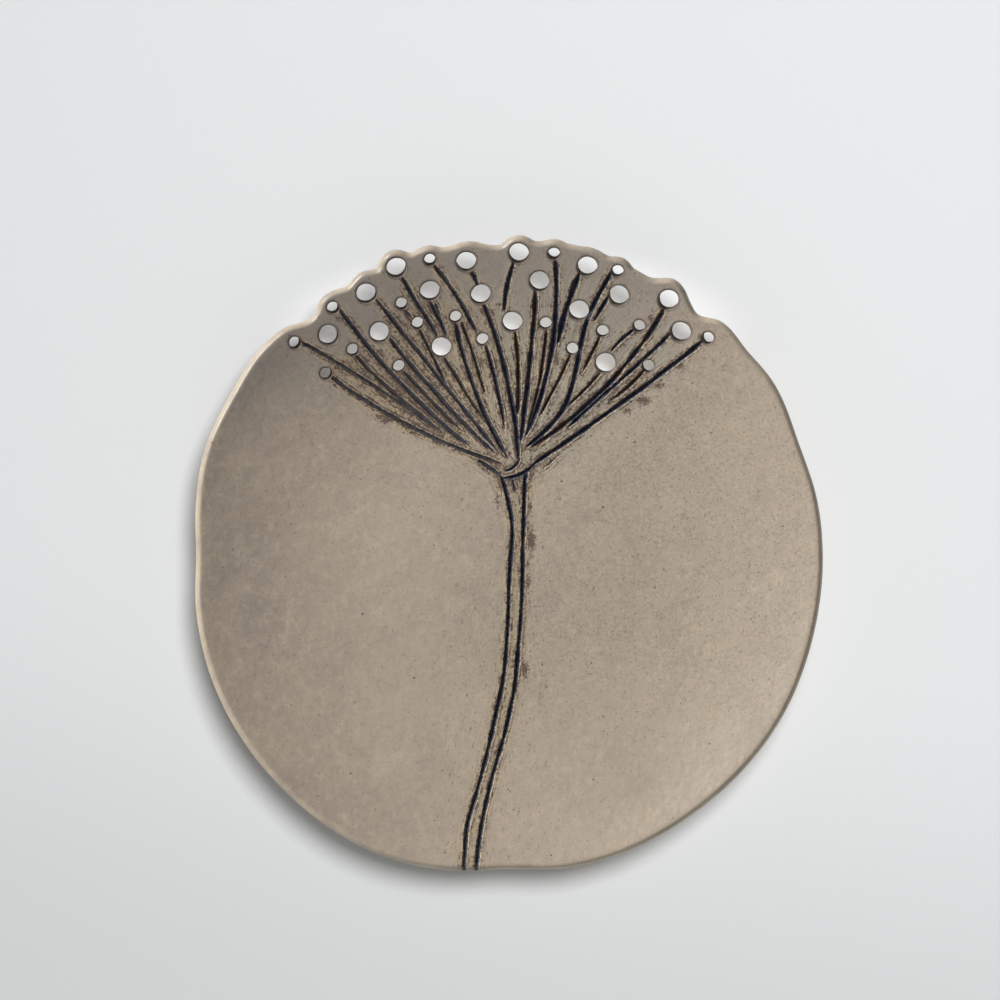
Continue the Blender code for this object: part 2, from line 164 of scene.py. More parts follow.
# The hand-cut outline before its collars: clock angle in degrees, distance from the middle
OUTLINE = (
    (0, 98.9), (10, 98.6), (20, 97.8), (34, 99.3), (40, 98.7), (48, 99.0), (52, 96.3), (55, 98.4),
    (59, 100.8), (63, 98.0), (66, 98.2), (74, 99.4), (78, 99.6), (84, 99.2), (88, 98.4), (93, 97.6),
    (97, 99.2), (101, 98.9), (107, 100.1), (114, 98.8), (118, 100.3), (121, 98.8), (124, 99.9),
    (127, 99.0), (130, 97.4), (135, 100.6), (140, 101.7), (150, 101.3), (162, 101.5), (172, 100.0),
    (180, 98.9), (190, 100.4), (205, 102.0), (222, 102.7), (250, 102.8), (260, 101.3), (270, 99.4),
    (280, 100.6), (290, 100.9), (305, 100.4), (330, 100.2), (345, 99.3),
)

# Brown oxide that the sponge left beside the stem and among the rays: place across and up, reach
# across and up, strength
SMUDGES = (
    (6.5, 14.8, 0.9, 2.4, 1.0), (7.0, 4.2, 1.2, 3.8, 1.1), (6.1, -9.0, 0.7, 7.0, 0.7),
    (4.4, -24.0, 0.6, 9.0, 0.6), (4.9, -37.0, 1.1, 2.8, 1.2), (-3.8, 17.0, 0.8, 4.0, 0.8),
    (-41.6, 43.6, 2.0, 1.3, 0.9), (-39.4, 41.9, 1.4, 1.2, 1.0), (-54.0, 74.2, 1.6, 1.2, 0.7),
    (-50.6, 73.4, 1.6, 1.8, 0.8), (-41.2, 63.6, 1.6, 1.4, 0.9), (-26.2, 68.4, 1.3, 1.8, 0.8),
    (-8.6, 76.8, 1.3, 1.5, 1.0), (-5.5, 76.4, 1.1, 1.6, 1.0), (-9.0, 60.5, 1.2, 2.0, 0.9),
    (-2.8, 79.0, 1.6, 1.2, 0.7), (8.5, 74.2, 0.8, 6.0, 0.9), (14.9, 62.0, 1.4, 2.6, 0.9),
    (5.4, 58.0, 1.0, 3.6, 0.8), (44.6, 74.5, 0.9, 1.5, 1.0), (47.9, 74.3, 0.8, 1.3, 0.9),
    (54.0, 59.4, 1.8, 1.2, 0.9), (47.4, 53.2, 1.8, 1.2, 0.9), (42.8, 48.6, 2.4, 1.4, 1.1),
    (37.6, 45.0, 1.7, 1.2, 0.9), (60.2, 68.5, 1.2, 1.0, 0.9), (7.4, 24.9, 0.9, 0.9, 0.9),
)

holes = np.array([floret[:3] for floret in UMBEL]) * [SHARE, SHARE, 1]
print(len(UMBEL), "holes,", sum(floret.width > 0 for floret in UMBEL), "rays")

# %% [markdown]
# Two tools for handmade shapes: a smooth curve through a few marks, and a smooth random height.
# Blender has noise textures, but those live in materials. Clay that is really uneven needs the
# unevenness in its mesh, where it also shows in the outline.

# %% Curves and unevenness
def smooth_through(keys, values, at):
    """Cubic pieces between the keys, each leaving and arriving with the slope its neighbours give."""
    slopes = np.gradient(values, keys, axis=0)
    left = np.clip(np.searchsorted(keys, at, side="right") - 1, 0, len(keys) - 2)
    gap = keys[left + 1] - keys[left]
    t = (at - keys[left]) / gap
    if values.ndim > 1:
        t, gap = t[:, None], gap[:, None]
    rest = 1 - t
    return (values[left] * rest**2 * (1 + 2 * t) + values[left + 1] * t**2 * (1 + 2 * rest)
            + gap * t * rest * (slopes[left] * rest - slopes[left + 1] * t))


def smooth_step(value, low, high):
    """Runs from 0 at low to 1 at high, level at both ends: 3t^2 - 2t^3."""
    t = np.clip((value - low) / (high - low), 0, 1)
    return t * t * (3 - 2 * t)


TABLE = 256


def uneven(points, size, seed):
    """Smooth random heights from -1 to 1: random numbers on a grid `size` mm wide, smoothly blended."""
    table = np.random.default_rng(seed).uniform(-1, 1, (TABLE, TABLE))
    cell = np.floor(points / size).astype(int)
    part = smooth_step(points / size - cell, 0, 1)
    x0, y0 = cell.T % TABLE
    x1, y1 = (cell.T + 1) % TABLE
    low = table[x0, y0] * (1 - part[:, 0]) + table[x1, y0] * part[:, 0]
    high = table[x0, y1] * (1 - part[:, 0]) + table[x1, y1] * part[:, 0]
    return low * (1 - part[:, 1]) + high * part[:, 1]


def uneven_layers(points, layers):
    """Sizes of unevenness added up; each layer has a height, a size in mm and a seed."""
    return sum(height * uneven(points, size, seed) for height, size, seed in layers)


print("an uneven row:", uneven(np.array([[0.0, 0.0], [4.0, 0.0], [8.0, 0.0]]), 10, 1).round(2))

# %% [markdown]
# The slab. It could be turned on an axis like a thrown plate, but this one is cut from a rolled slab,
# so the outline is not round. The depth of the dish is a function of the distance from its middle:
# flat in the well, then rising ever faster to the rim. The back is the front moved square to itself
# through the thickness of the clay.

# %% The slab's surfaces
PROFILE_STEPS = 400         # places at which the back is worked out between the middle and past the rim


def rise(radius):
    """Nothing in the well, then the square of the way from the well to the rim, times the depth."""
    return DISH_DEPTH * (np.maximum(radius - WELL_RADIUS, 0) / (RADIUS - WELL_RADIUS)) ** 2


def tilt(radius):
    """Angle of the slab from the wall: the arc tangent of the slope of the rise."""
    span = RADIUS - WELL_RADIUS
    return np.arctan(2 * DISH_DEPTH * np.maximum(radius - WELL_RADIUS, 0) / span**2)


def front_depth(radius):
    return -(FOOT_HEIGHT + WALL + rise(radius))


def back_depth(radius):
    """Front points moved by the wall along their normals, read at the radius where they come out."""
    front = np.linspace(0, 1.1 * RADIUS, PROFILE_STEPS)
    moved = front + WALL * np.sin(tilt(front))
    return np.interp(radius, moved, front_depth(front) + WALL * np.cos(tilt(front)))


def distance(points):
    return np.hypot(points[:, 0], points[:, 1])


print("front of the rim at", front_depth(RADIUS), "mm, back of the well at", back_depth(0.0), "mm")

# %% [markdown]
# The rim. The potter cut round each outer hole and left a collar of clay, which makes the scallops.
# The reach of each collar's disc along a direction is joined to the hand-cut outline by a soft
# maximum, so a small fillet appears wherever a collar meets the rim, as a wet sponge leaves it.

# %% The rim's outline
RIM_POINTS = 1080


def rim_radius(angle):
    """Soft maximum, the logarithm of summed exponentials, of the outline and every outer collar."""
    marks = np.array(OUTLINE, float)
    turn = np.array([360, 0])
    marks = np.vstack([marks[-3:] - turn, marks, marks[:3] + turn])
    bare = smooth_through(np.radians(marks[:, 0]), marks[:, 1] * SHARE, angle)
    total = np.ones_like(bare)
    for across, up, drill in holes[distance(holes) > OUTER_SHARE * SHARE]:
        away = math.hypot(across, up)
        turned = angle - math.atan2(up, across)
        collar = drill / 2 + COLLAR
        beside = away * np.sin(turned)
        reach = away * np.cos(turned) + np.sqrt(np.maximum(collar**2 - beside**2, 0))
        crosses = (np.abs(beside) < collar) & (np.cos(turned) > 0)
        total += np.where(crosses, np.exp((reach - bare) / COLLAR_BLEND), 0)
    return bare + COLLAR_BLEND * np.log(total)


rim_angle = np.linspace(0, 2 * np.pi, RIM_POINTS, endpoint=False)
rim_reach = rim_radius(rim_angle)
rim = np.column_stack([rim_reach * np.cos(rim_angle), rim_reach * np.sin(rim_angle)])
rim_run = np.roll(rim, -1, axis=0) - np.roll(rim, 1, axis=0)
rim_out = np.column_stack([rim_run[:, 1], -rim_run[:, 0]]) / distance(rim_run)[:, None]
rim_lean = tilt(rim_reach)[:, None]
lip_reach = np.hypot(LIP_ROUND * np.cos(rim_lean), WALL / 2 * np.sin(rim_lean))
rim_front = rim - (lip_reach + WALL / 2 * np.sin(rim_lean)) * rim_out
rim_back = rim - (lip_reach - WALL / 2 * np.sin(rim_lean)) * rim_out
print("rim from", rim_reach.min().round(1), "to", rim_reach.max().round(1), "mm from the middle")

# %% [markdown]
# The cuts. Each is a path of stations about 0.7 mm apart, with a width at each station. A hand does
# not draw an even line, so the path wanders a little and the width swells and thins. A ray starts
# open at its hole and runs out to nothing near the stem.

# %% Paths of the cuts
STATION = 0.7
WANDER = 0.22               # mm by which the hand strays from the drawing
SWELL = 0.22                # share by which the width grows and shrinks
RUN_OUT = 5.0               # length over which a cut runs out at its foot, or a third of a short cut
RUN_IN = 2.5                # length over which it reaches its full width at its head
FOOT_TAPER = 0.7            # under 1, so that a foot stays wide and then thins quickly
WANDER_SIZE = 9             # lengths in mm of a bend, of a swell and of a ripple in the width
SWELL_SIZE = 5
RIPPLE_SIZE = 1.6
ROW_STEP = 3.7              # each cut reads the unevenness along a row of its own, this far apart
STEM_SEED = 60              # seed of the stem's first line, past those of the rays and strokes


class Cut(NamedTuple):
    path: np.ndarray
    tangent: np.ndarray
    length: np.ndarray
    half: np.ndarray
    tone: float


def make_cut(path, width, tone, seed, start=0.0, end=0.0):
    """Wanders a drawn path and gives it widths that swell, and that run out at its two ends."""
    run = np.gradient(path, axis=0)
    length = np.concatenate([[0], np.cumsum(distance(np.diff(path, axis=0)))])
    clock = np.column_stack([length, np.full_like(length, ROW_STEP * seed)])
    side = np.column_stack([-run[:, 1], run[:, 0]]) / distance(run)[:, None]
    run_out = min(RUN_OUT, length[-1] / 3)
    ease = np.minimum(1, np.minimum(length, length[-1] - length) / run_out)
    path = path + (WANDER * ease * uneven(clock, WANDER_SIZE, seed))[:, None] * side
    run = np.gradient(path, axis=0)
    head = start + (1 - start) * np.minimum(1, length / RUN_IN)
    foot = end + (1 - end) * np.minimum(1, (length[-1] - length) / run_out) ** FOOT_TAPER
    ripple = SWELL / 2 * uneven(clock, RIPPLE_SIZE, seed + 200)
    swell = 1 + SWELL * uneven(clock, SWELL_SIZE, seed + 100) + ripple
    half = width / 2 * head * foot * swell
    return Cut(path, run / distance(run)[:, None], length, half, tone)


def arc(head, foot, bow, sway=0.0):
    """From head to foot, with a rise to the left of 4 * bow * t * (1 - t) + sway * sin(2 pi t)."""
    head, foot = np.array(head), np.array(foot)
    run = foot - head
    reach = math.hypot(*run)
    t = np.linspace(0, 1, max(4, round(reach / STATION)))[:, None]
    beside = 4 * bow * t * (1 - t) + sway * np.sin(2 * np.pi * t)
    return head + t * run + beside * np.array([-run[1], run[0]]) / reach


cuts = []
for seed, floret in enumerate(UMBEL):
    if floret.width:
        away = math.radians(floret.leaves)
        start = floret.drill / 2
        head = (floret.across * SHARE + start * math.cos(away), floret.up * SHARE + start * math.sin(away))
        foot = (floret.foot_across * SHARE, floret.foot_up * SHARE)
        path = arc(head, foot, floret.bow * SHARE, floret.sway * SHARE)
        cuts.append(make_cut(path, floret.width, floret.tone, seed, OPEN, floret.foot_open))
for seed, (head, foot, bow, width, tone) in enumerate(STROKES, len(UMBEL)):
    path = arc(np.array(head) * SHARE, np.array(foot) * SHARE, bow * SHARE)
    cuts.append(make_cut(path, width, tone, seed, OPEN, OPEN))

marks = np.array(STEM, float)[::-1] * SHARE
up = np.arange(marks[-1, 0], marks[0, 0], -STATION)
across, apart = smooth_through(marks[:, 0], marks[:, 1:], up).T
for seed, side in enumerate((-1, 1), STEM_SEED):
    path = np.column_stack([across + side * apart / 2, up])
    cuts.append(make_cut(path, STEM_CUT, BLUE, seed, OPEN, 1.0))
print(len(cuts), "cuts,", round(sum(cut.length[-1] for cut in cuts)), "mm in all")

# %% [markdown]
# What the cuts do to the clay. A cut could be a Boolean with a thin wedge, but forty of them would
# leave razor edges. Here a point of the clay asks each cut how far away it runs. Inside the cut the
# surface sinks along a rounded V. Just outside, the clay that the tool pushed aside stands up as a
# small broken burr. The same distances are kept for the glaze, whose colours follow the cuts.

# %% Carving
STEEPNESS = 0.75            # depth of a cut for its width
SECTION = 1.6               # 1 would make a cut's section a sharp V, 2 a round groove
BURR = 0.17
BURR_REACH = 0.24
BURR_FROM = 0.2             # a cut of this half width raises no burr
BURR_FULL = 0.7             # and one of this half width raises a whole one
BURR_SHARE = 0.55           # what is left of a burr on average, as it breaks off in crumbs
BURR_CRUMBS = ((0.45, 2.2, 301), (0.35, 0.9, 302))
THINNEST = 0.01             # half width that a cut keeps where it has run out
CROWD_REACH = 5.0
SEARCH = 9.0                # no cut is felt from further away than this
FAR = 50.0
HOLE_LIP = 0.5
BRIM_REACH = 0.45
HAND_MARKS = ((0.26, 31, 401), (0.13, 13, 402), (0.05, 5, 403))
RIM_PLAIN = 1               # no hand marks nearer to the rim than this
PRESSED_FROM = 12           # and whole ones from here inwards


class Carving(NamedTuple):
    depth: np.ndarray
    burr: np.ndarray
    gap: np.ndarray             # distance past the edge of the nearest cut, negative inside it
    tone: np.ndarray
    crowd: np.ndarray
    streak: np.ndarray          # length along the nearest cut, distance beside it, number of the cut
    smudge: np.ndarray
    brim: np.ndarray            # 1 at the edge of a hole, fading out beside it


def smudged(points):
    """Each smudge is a bell, exp(-u^2 - v^2), u and v being the shares of its reach across and up."""
    total = np.zeros(len(points))
    for across, up, reach_across, reach_up, strength in SMUDGES:
        u = (points[:, 0] / SHARE - across) / reach_across
        v = (points[:, 1] / SHARE - up) / reach_up
        total += strength * np.exp(-u * u - v * v)
    return total


def brimmed(points):
    """Falls off as exp(-distance / reach) outside the lip of the nearest hole."""
    brim = np.zeros(len(points))
    for across, up, drill in holes:
        past = np.hypot(points[:, 0] - across, points[:, 1] - up) - drill / 2 - HOLE_LIP
        brim = np.maximum(brim, np.exp(-np.maximum(past, 0) / BRIM_REACH))
    return brim


def carve(points):
    """Depth: 2 * half * STEEPNESS * (1 - u^SECTION), u being the distance over the cut's half width."""
    count = len(points)
    depth, burr, crowd, tone = np.zeros((4, count))
    gap = np.full(count, FAR)
    streak = np.zeros((count, 3))
    for number, cut in enumerate(cuts):
        low, high = cut.path.min(0) - SEARCH, cut.path.max(0) + SEARCH
        near = np.flatnonzero(((points > low) & (points < high)).all(1))
        offset = points[near][:, None] - cut.path
        station = (offset**2).sum(2).argmin(1)
        offset = offset[np.arange(len(near)), station]
        tangent = cut.tangent[station]
        ahead = (offset * tangent).sum(1)
        beside = offset[:, 1] * tangent[:, 0] - offset[:, 0] * tangent[:, 1]
        last = len(cut.path) - 1
        beyond = np.maximum(np.where(station == 0, -ahead, np.where(station == last, ahead, 0)), 0)
        away = np.hypot(beside, beyond)
        half = np.maximum(cut.half[station], THINNEST)
        past = away - half
        sunk = 2 * half * STEEPNESS * (1 - np.minimum(away / half, 1) ** SECTION)
        depth[near] = np.maximum(depth[near], sunk)
        swell = np.maximum(past, 0) / BURR_REACH
        raised = BURR * swell * np.exp(1 - swell) * smooth_step(cut.half[station], BURR_FROM, BURR_FULL)
        burr[near] = np.maximum(burr[near], raised)
        crowd[near] += np.exp(-(np.maximum(past, 0) / CROWD_REACH) ** 2)
        closer = past < gap[near]
        chosen = near[closer]
        gap[chosen] = past[closer]
        tone[chosen] = cut.tone
        length = cut.length[station] + ahead
        streak[chosen] = np.column_stack([length, beside, np.full(len(near), number)])[closer]
    broken = BURR_SHARE + uneven_layers(points, BURR_CRUMBS)
    burr = np.where(depth > 0, 0, burr * np.maximum(broken, 0))
    return Carving(depth, burr, gap, tone, crowd, streak, smudged(points), brimmed(points))


def pressed(points):
    """Hand marks: three sizes of unevenness, fading out at the rim so that the size stays true."""
    angle = np.mod(np.arctan2(points[:, 1], points[:, 0]), 2 * np.pi)
    inside = np.interp(angle, rim_angle, rim_reach, period=2 * np.pi) - distance(points)
    return uneven_layers(points, HAND_MARKS) * smooth_step(inside, RIM_PLAIN, PRESSED_FROM)


# %% [markdown]
# Laying out the points. An even grid fine enough for the cuts would need millions of faces. So the
# points are dealt out where they work: rows along both sides of every cut, a fine net in the flower, and
# a wider net on the plain clay. A Delaunay triangulation joins them into the best shaped triangles.

# %% Nets of points
FINE_NET = 0.8
WIDE_NET = 1.6
BACK_NET = 3.2
NEAR_CUT = 3.4              # the fine net reaches this far from a cut
ROW_GAP = 0.62              # the fine net starts this far from a cut
NET_REACH = 1.05 * RADIUS
FRONT_CLEAR = 0.3           # the nets keep this far from the rim and the holes
BACK_CLEAR = 0.9
ROW_APART = 0.2             # of two points in one square of this size, one is left out
HOLE_SIDES = 44
OVAL = 0.022                # shares by which a hole's radius wavers, twice and three times round
CORNERED = 0.012
SAME_POINT = 0.0005         # points closer than this become one
BATCH = 2000                # points that are measured at once, to spare memory

# The rows along a cut: at a share of its half width, and so much further out
CUT_ROWS = ((0, 0), (0.35, 0), (0.7, 0), (1, 0), (1, 0.22), (1, 0.5))


def net(spacing, reach):
    """Rows of points, every second row shifted by half a step, so that all neighbours are as far."""
    row = np.arange(-reach, reach, spacing)
    lines = np.arange(-reach, reach, spacing * math.sqrt(3) / 2)
    x, y = np.meshgrid(row, lines)
    x = x + spacing / 2 * (np.arange(len(lines)) % 2)[:, None]
    return np.column_stack([x.ravel(), y.ravel()])


def apart_from(points, loops, clearance):
    """Which points keep a clearance from every point of some loops."""
    crowd = np.vstack(loops)
    keep = np.ones(len(points), bool)
    for part in np.array_split(np.arange(len(points)), max(1, len(points) // BATCH)):
        gap = ((points[part][:, None] - crowd) ** 2).sum(2).min(1)
        keep[part] = gap > clearance**2
    return keep


def circle(across, up, radius, sides):
    angle = np.arange(sides) * 2 * np.pi / sides
    return np.column_stack([across + radius * np.cos(angle), up + radius * np.sin(angle)])


def triangulate(outline, inner, loose):
    """Joins loops and loose points into triangles between the outline and the inner loops."""
    points, edges, loops = [], [], []
    for loop in (outline, *inner):
        index = list(range(len(points), len(points) + len(loop)))
        points.extend(Vector(p) for p in loop)
        edges.extend(zip(index, index[1:] + index[:1]))
        loops.append(index)
    points.extend(Vector(p) for p in loose)
    flat, _, faces, sources, _, owners = delaunay_2d_cdt(points, edges, loops, 0, SAME_POINT, True)
    faces = np.array([face for face, owner in zip(faces, owners) if owner == [0]])
    place = {old: new for new, olds in enumerate(sources) for old in olds}
    used, faces = np.unique(faces, return_inverse=True)
    fresh = {old: new for new, old in enumerate(used)}
    loops = [np.array([fresh[place[i]] for i in loop]) for loop in loops]
    return np.array([p[:] for p in flat])[used], faces.reshape(-1, 3), loops


def ragged(across, up, drill, seed):
    """A hole's radius round its edge: the drill's, with the small waver of a blade that trimmed it."""
    angle = np.arange(HOLE_SIDES) * 2 * np.pi / HOLE_SIDES
    phase = np.random.default_rng(500 + seed).uniform(0, 2 * np.pi, 2)
    waver = OVAL * np.cos(2 * angle + phase[0]) + CORNERED * np.cos(3 * angle + phase[1])
    radius = drill / 2 * (1 + waver)
    return radius[:, None], np.column_stack([np.cos(angle), np.sin(angle)])


rows = []
for cut in cuts:
    side = np.column_stack([-cut.tangent[:, 1], cut.tangent[:, 0]])
    for share, more in CUT_ROWS:
        for way in (-1, 1):
            rows.append(cut.path + way * (share * cut.half + more)[:, None] * side)
rows = np.vstack(rows)
_, first = np.unique(np.round(rows / ROW_APART).astype(int), axis=0, return_index=True)
rows = rows[np.sort(first)]

fine = net(FINE_NET, NET_REACH)
fine_gap = carve(fine).gap
fine = fine[(fine_gap > ROW_GAP) & (fine_gap < NEAR_CUT)]
wide = net(WIDE_NET, NET_REACH)
wide = wide[carve(wide).gap >= NEAR_CUT]
hole_edges = []
for seed, (across, up, drill) in enumerate(holes):
    radius, around = ragged(across, up, drill, seed)
    hole_edges.append([across, up] + (radius + HOLE_LIP) * around)
loose = np.vstack([rows, fine, wide])
loose = loose[apart_from(loose, [rim_front, *hole_edges], FRONT_CLEAR)]
front, front_faces, front_loops = triangulate(rim_front, hole_edges, loose)
print(len(front), "points and", len(front_faces), "triangles in the front")

# %% [markdown]
# One closed skin. The front, the holes, the lip, the back and the foot ring could be separate
# pieces, but fired clay has no seams. So every stretch adds its points to one list, and stretches
# that meet share their loops of points. A band of four-sided faces joins each loop to the next.

# %% Collecting points and faces
skin_points = []
skin_faces = []
skin_marks = []
MARKS = ("gap", "tone", "crowd", "smudge", "brim", "bore", "bare", "lip")


def put(flat, depth, carving=None, bore=0.0, bare=0.0, lip=0.0):
    """Adds points at (across, depth, up), with what the glaze has to know there. Gives their numbers."""
    first = sum(len(points) for points in skin_points)
    count = len(flat)
    skin_points.append(np.column_stack([flat[:, 0], np.broadcast_to(depth, count), flat[:, 1]]))
    known = [np.full(count, FAR), *np.zeros((4, count))]
    streak = np.zeros((count, 3))
    if carving:
        known = [carving.gap, carving.tone, carving.crowd, carving.smudge, carving.brim]
        streak = carving.streak
    more = [np.broadcast_to(value, count) for value in (bore, bare, lip)]
    skin_marks.append(np.column_stack([*known, *more, streak]))
    return np.arange(first, first + count)


def band(first, second, turned=False):
    """Four-sided faces between two loops: one step along the first, across, one step back, across."""
    corners = np.column_stack([first, np.roll(first, -1), np.roll(second, -1), second])
    skin_faces.append(corners[:, ::-1] if turned else corners)


front_carving = carve(front)
front_y = front_depth(distance(front)) + front_carving.depth - front_carving.burr - pressed(front)
front_index = put(front, front_y, front_carving)
skin_faces.append(front_index[front_faces])
print("deepest cut", front_carving.depth.max().round(2), "mm in", WALL, "mm of clay")

# %% [markdown]
# The holes. A drill leaves a sharp edge, and a wet sponge rounds it. Each hole is a profile carried
# round a ragged circle: a quarter of a circle in from the front, a straight wall, and a quarter
# circle out to the back. The drill stood square on the tilted slab, so a hole comes out further out.

# %% Holes through the slab
LIP_ROWS = 4
WALL_ROWS = 4
# The dark inside of the holes is oxide and painted shade; these set how far it reaches
FRONT_OXIDE_AND_SHADE = 0.35           # how far the dark wash reaches onto the rounded edges of a hole
BACK_OXIDE_AND_SHADE = 0.5
back_hole_edges = []
hole_ends = []
for seed, ((across, up, drill), loop) in enumerate(zip(holes, front_loops[1:])):
    radius, around = ragged(across, up, drill, seed)
    middle = np.array([across, up])
    away = math.hypot(across, up)
    shift = middle * WALL * math.sin(tilt(away)) / away
    previous = front_index[loop]
    for swing in np.linspace(0, np.pi / 2, LIP_ROWS + 1)[1:]:
        flat = middle + (radius + HOLE_LIP * (1 - math.sin(swing))) * around
        carving = carve(flat)
        inward = HOLE_LIP * (1 - math.cos(swing))
        depth = front_depth(distance(flat)) + carving.depth - pressed(flat) + inward
        row = put(flat, depth, carving, bore=FRONT_OXIDE_AND_SHADE * math.sin(swing))
        band(previous, row)
        previous = row
    start_flat, start_depth = flat, depth
    end_flat = middle + shift + radius * around
    end_depth = back_depth(distance(end_flat)) - HOLE_LIP
    for share in np.linspace(0, 1, WALL_ROWS + 1)[1:]:
        flat = start_flat + share * (end_flat - start_flat)
        row = put(flat, start_depth + share * (end_depth - start_depth), bore=1.0)
        band(previous, row)
        previous = row
    for swing in np.linspace(0, np.pi / 2, LIP_ROWS)[1:-1]:
        flat = middle + shift + (radius + HOLE_LIP * (1 - math.cos(swing))) * around
        depth = back_depth(distance(flat)) - HOLE_LIP * (1 - math.sin(swing))
        row = put(flat, depth, bore=BACK_OXIDE_AND_SHADE)
        band(previous, row)
        previous = row
    back_hole_edges.append(middle + shift + (radius + HOLE_LIP) * around)
    hole_ends.append(previous)
print(len(hole_ends), "holes lined")

# %% [markdown]
# The back. Nobody sees it on the wall, but someone who takes the plate down does. It is plain: the
# slab's back, and a foot ring thrown onto it, whose profile is turned round the middle. Its edges are
# softened, because a crisp foot chips.

# %% The back and its foot ring
FOOT_ROUND = 0.8
FOOT_FILLET = 1.8
BARE_FROM = 1.6             # the foot is wiped bare from this far below its standing face
BARE_FULL = 0.9
RING_SIDES = 240
CORNER_STEPS = 5


def corner(radius, height, size, start, end):
    """Points on an arc, from one clock angle in degrees to another."""
    angle = np.radians(np.linspace(start, end, CORNER_STEPS + 1))
    return np.column_stack([radius + size * np.cos(angle), height + size * np.sin(angle)])


foot_inner = FOOT_RADIUS - FOOT_WIDTH
share = np.array([[0.33], [0.67]])
side_height = FOOT_FILLET + share * (FOOT_HEIGHT - FOOT_FILLET - FOOT_ROUND)
side_draft = FOOT_DRAFT * (1 - share)
foot_profile = np.vstack([
    corner(FOOT_RADIUS + FOOT_DRAFT + FOOT_FILLET, FOOT_FILLET, FOOT_FILLET, 270, 180),
    np.hstack([FOOT_RADIUS + side_draft, side_height]),
    corner(FOOT_RADIUS - FOOT_ROUND, FOOT_HEIGHT - FOOT_ROUND, FOOT_ROUND, 0, 90),
    corner(foot_inner + FOOT_ROUND, FOOT_HEIGHT - FOOT_ROUND, FOOT_ROUND, 90, 180),
    np.hstack([foot_inner - side_draft, side_height])[::-1],
    corner(foot_inner - FOOT_DRAFT - FOOT_FILLET, FOOT_FILLET, FOOT_FILLET, 0, -90),
])

loose = net(BACK_NET, NET_REACH)
outer_edge, inner_edge = foot_profile[0, 0], foot_profile[-1, 0]
foot_loops = [circle(0, 0, outer_edge, RING_SIDES), circle(0, 0, inner_edge, RING_SIDES)]
outer = loose[distance(loose) > outer_edge]
outer = outer[apart_from(outer, [rim_back, foot_loops[0], *back_hole_edges], BACK_CLEAR)]
back, back_faces, back_loops = triangulate(rim_back, [foot_loops[0], *back_hole_edges], outer)
back_index = put(back, back_depth(distance(back)))
skin_faces.append(back_index[back_faces][:, ::-1])
for previous, loop in zip(hole_ends, back_loops[2:]):
    band(previous, back_index[loop])

inner = loose[distance(loose) < inner_edge - BACK_CLEAR]
well, well_faces, well_loops = triangulate(foot_loops[1], [], inner)
well_index = put(well, back_depth(distance(well)))
skin_faces.append(well_index[well_faces][:, ::-1])

previous = back_index[back_loops[1]]
for radius, height in foot_profile[1:-1]:
    flat = circle(0, 0, radius, RING_SIDES)
    bare = smooth_step(height, FOOT_HEIGHT - BARE_FROM, FOOT_HEIGHT - BARE_FULL)
    row = put(flat, back_depth(radius) * (1 - height / FOOT_HEIGHT), bare=bare)
    band(previous, row, turned=True)
    previous = row
band(previous, well_index[well_loops[0]], turned=True)
print("foot ring from", foot_inner, "to", FOOT_RADIUS, "mm,", len(foot_profile), "rows")

# %% [markdown]
# The lip joins front and back round the rim: half an ellipse, from the front edge out to the
# outline and in to the back edge. The stem's lines run over it, so it is carved as the front is.

# %% The lip
LIP_TURN = 12
CUT_GONE = -0.6             # cosines of the turn: here a cut has run out on the lip's back
CUT_WHOLE = 0.2             # and here, on its front, it is whole
front_edge = np.vstack(skin_points)[front_index[front_loops[0]]]
back_edge = np.vstack(skin_points)[back_index[back_loops[0]]]
plain_edge = front_edge.copy()
plain_edge[:, 1] = front_depth(np.hypot(front_edge[:, 0], front_edge[:, 2]))
lip_middle = (plain_edge + back_edge) / 2
lip_half = (back_edge - plain_edge) / 2
lip_back = lip_half / np.linalg.norm(lip_half, axis=1)[:, None]
lip_out = np.column_stack([rim_out[:, 0] * np.cos(rim_lean[:, 0]), -np.sin(rim_lean[:, 0]),
                           rim_out[:, 1] * np.cos(rim_lean[:, 0])])
previous = front_index[front_loops[0]]
for step in range(1, LIP_TURN):
    swing = np.pi * step / LIP_TURN
    square = math.sin(swing) * lip_out - math.cos(swing) * lip_back
    place = lip_middle - math.cos(swing) * lip_half + math.sin(swing) * LIP_ROUND * lip_out
    carving = carve(place[:, [0, 2]])
    sink = carving.depth * smooth_step(math.cos(swing), CUT_GONE, CUT_WHOLE)
    place = place - sink[:, None] * square
    row = put(place[:, [0, 2]], place[:, 1], carving, lip=math.sin(swing))
    band(previous, row, turned=True)
    previous = row
band(previous, back_index[back_loops[0]], turned=True)
print("lip of", LIP_TURN, "rows")

# %% [markdown]
# From lists to a mesh. All points are turned into metres and hung at their place under the origin.
# The glaze's knowledge goes along as named attributes, one number for each point.

# %% The plate's mesh
def signed_volume(points, faces):
    """Sum over all triangles of a sixth of the box product of their corners; positive if outside is out."""
    total = 0.0
    for part in faces:
        for last in range(2, part.shape[1]):
            a, b, c = points[part[:, 0]], points[part[:, last - 1]], points[part[:, last]]
            total += (a * np.cross(b, c)).sum() / 6
    return total


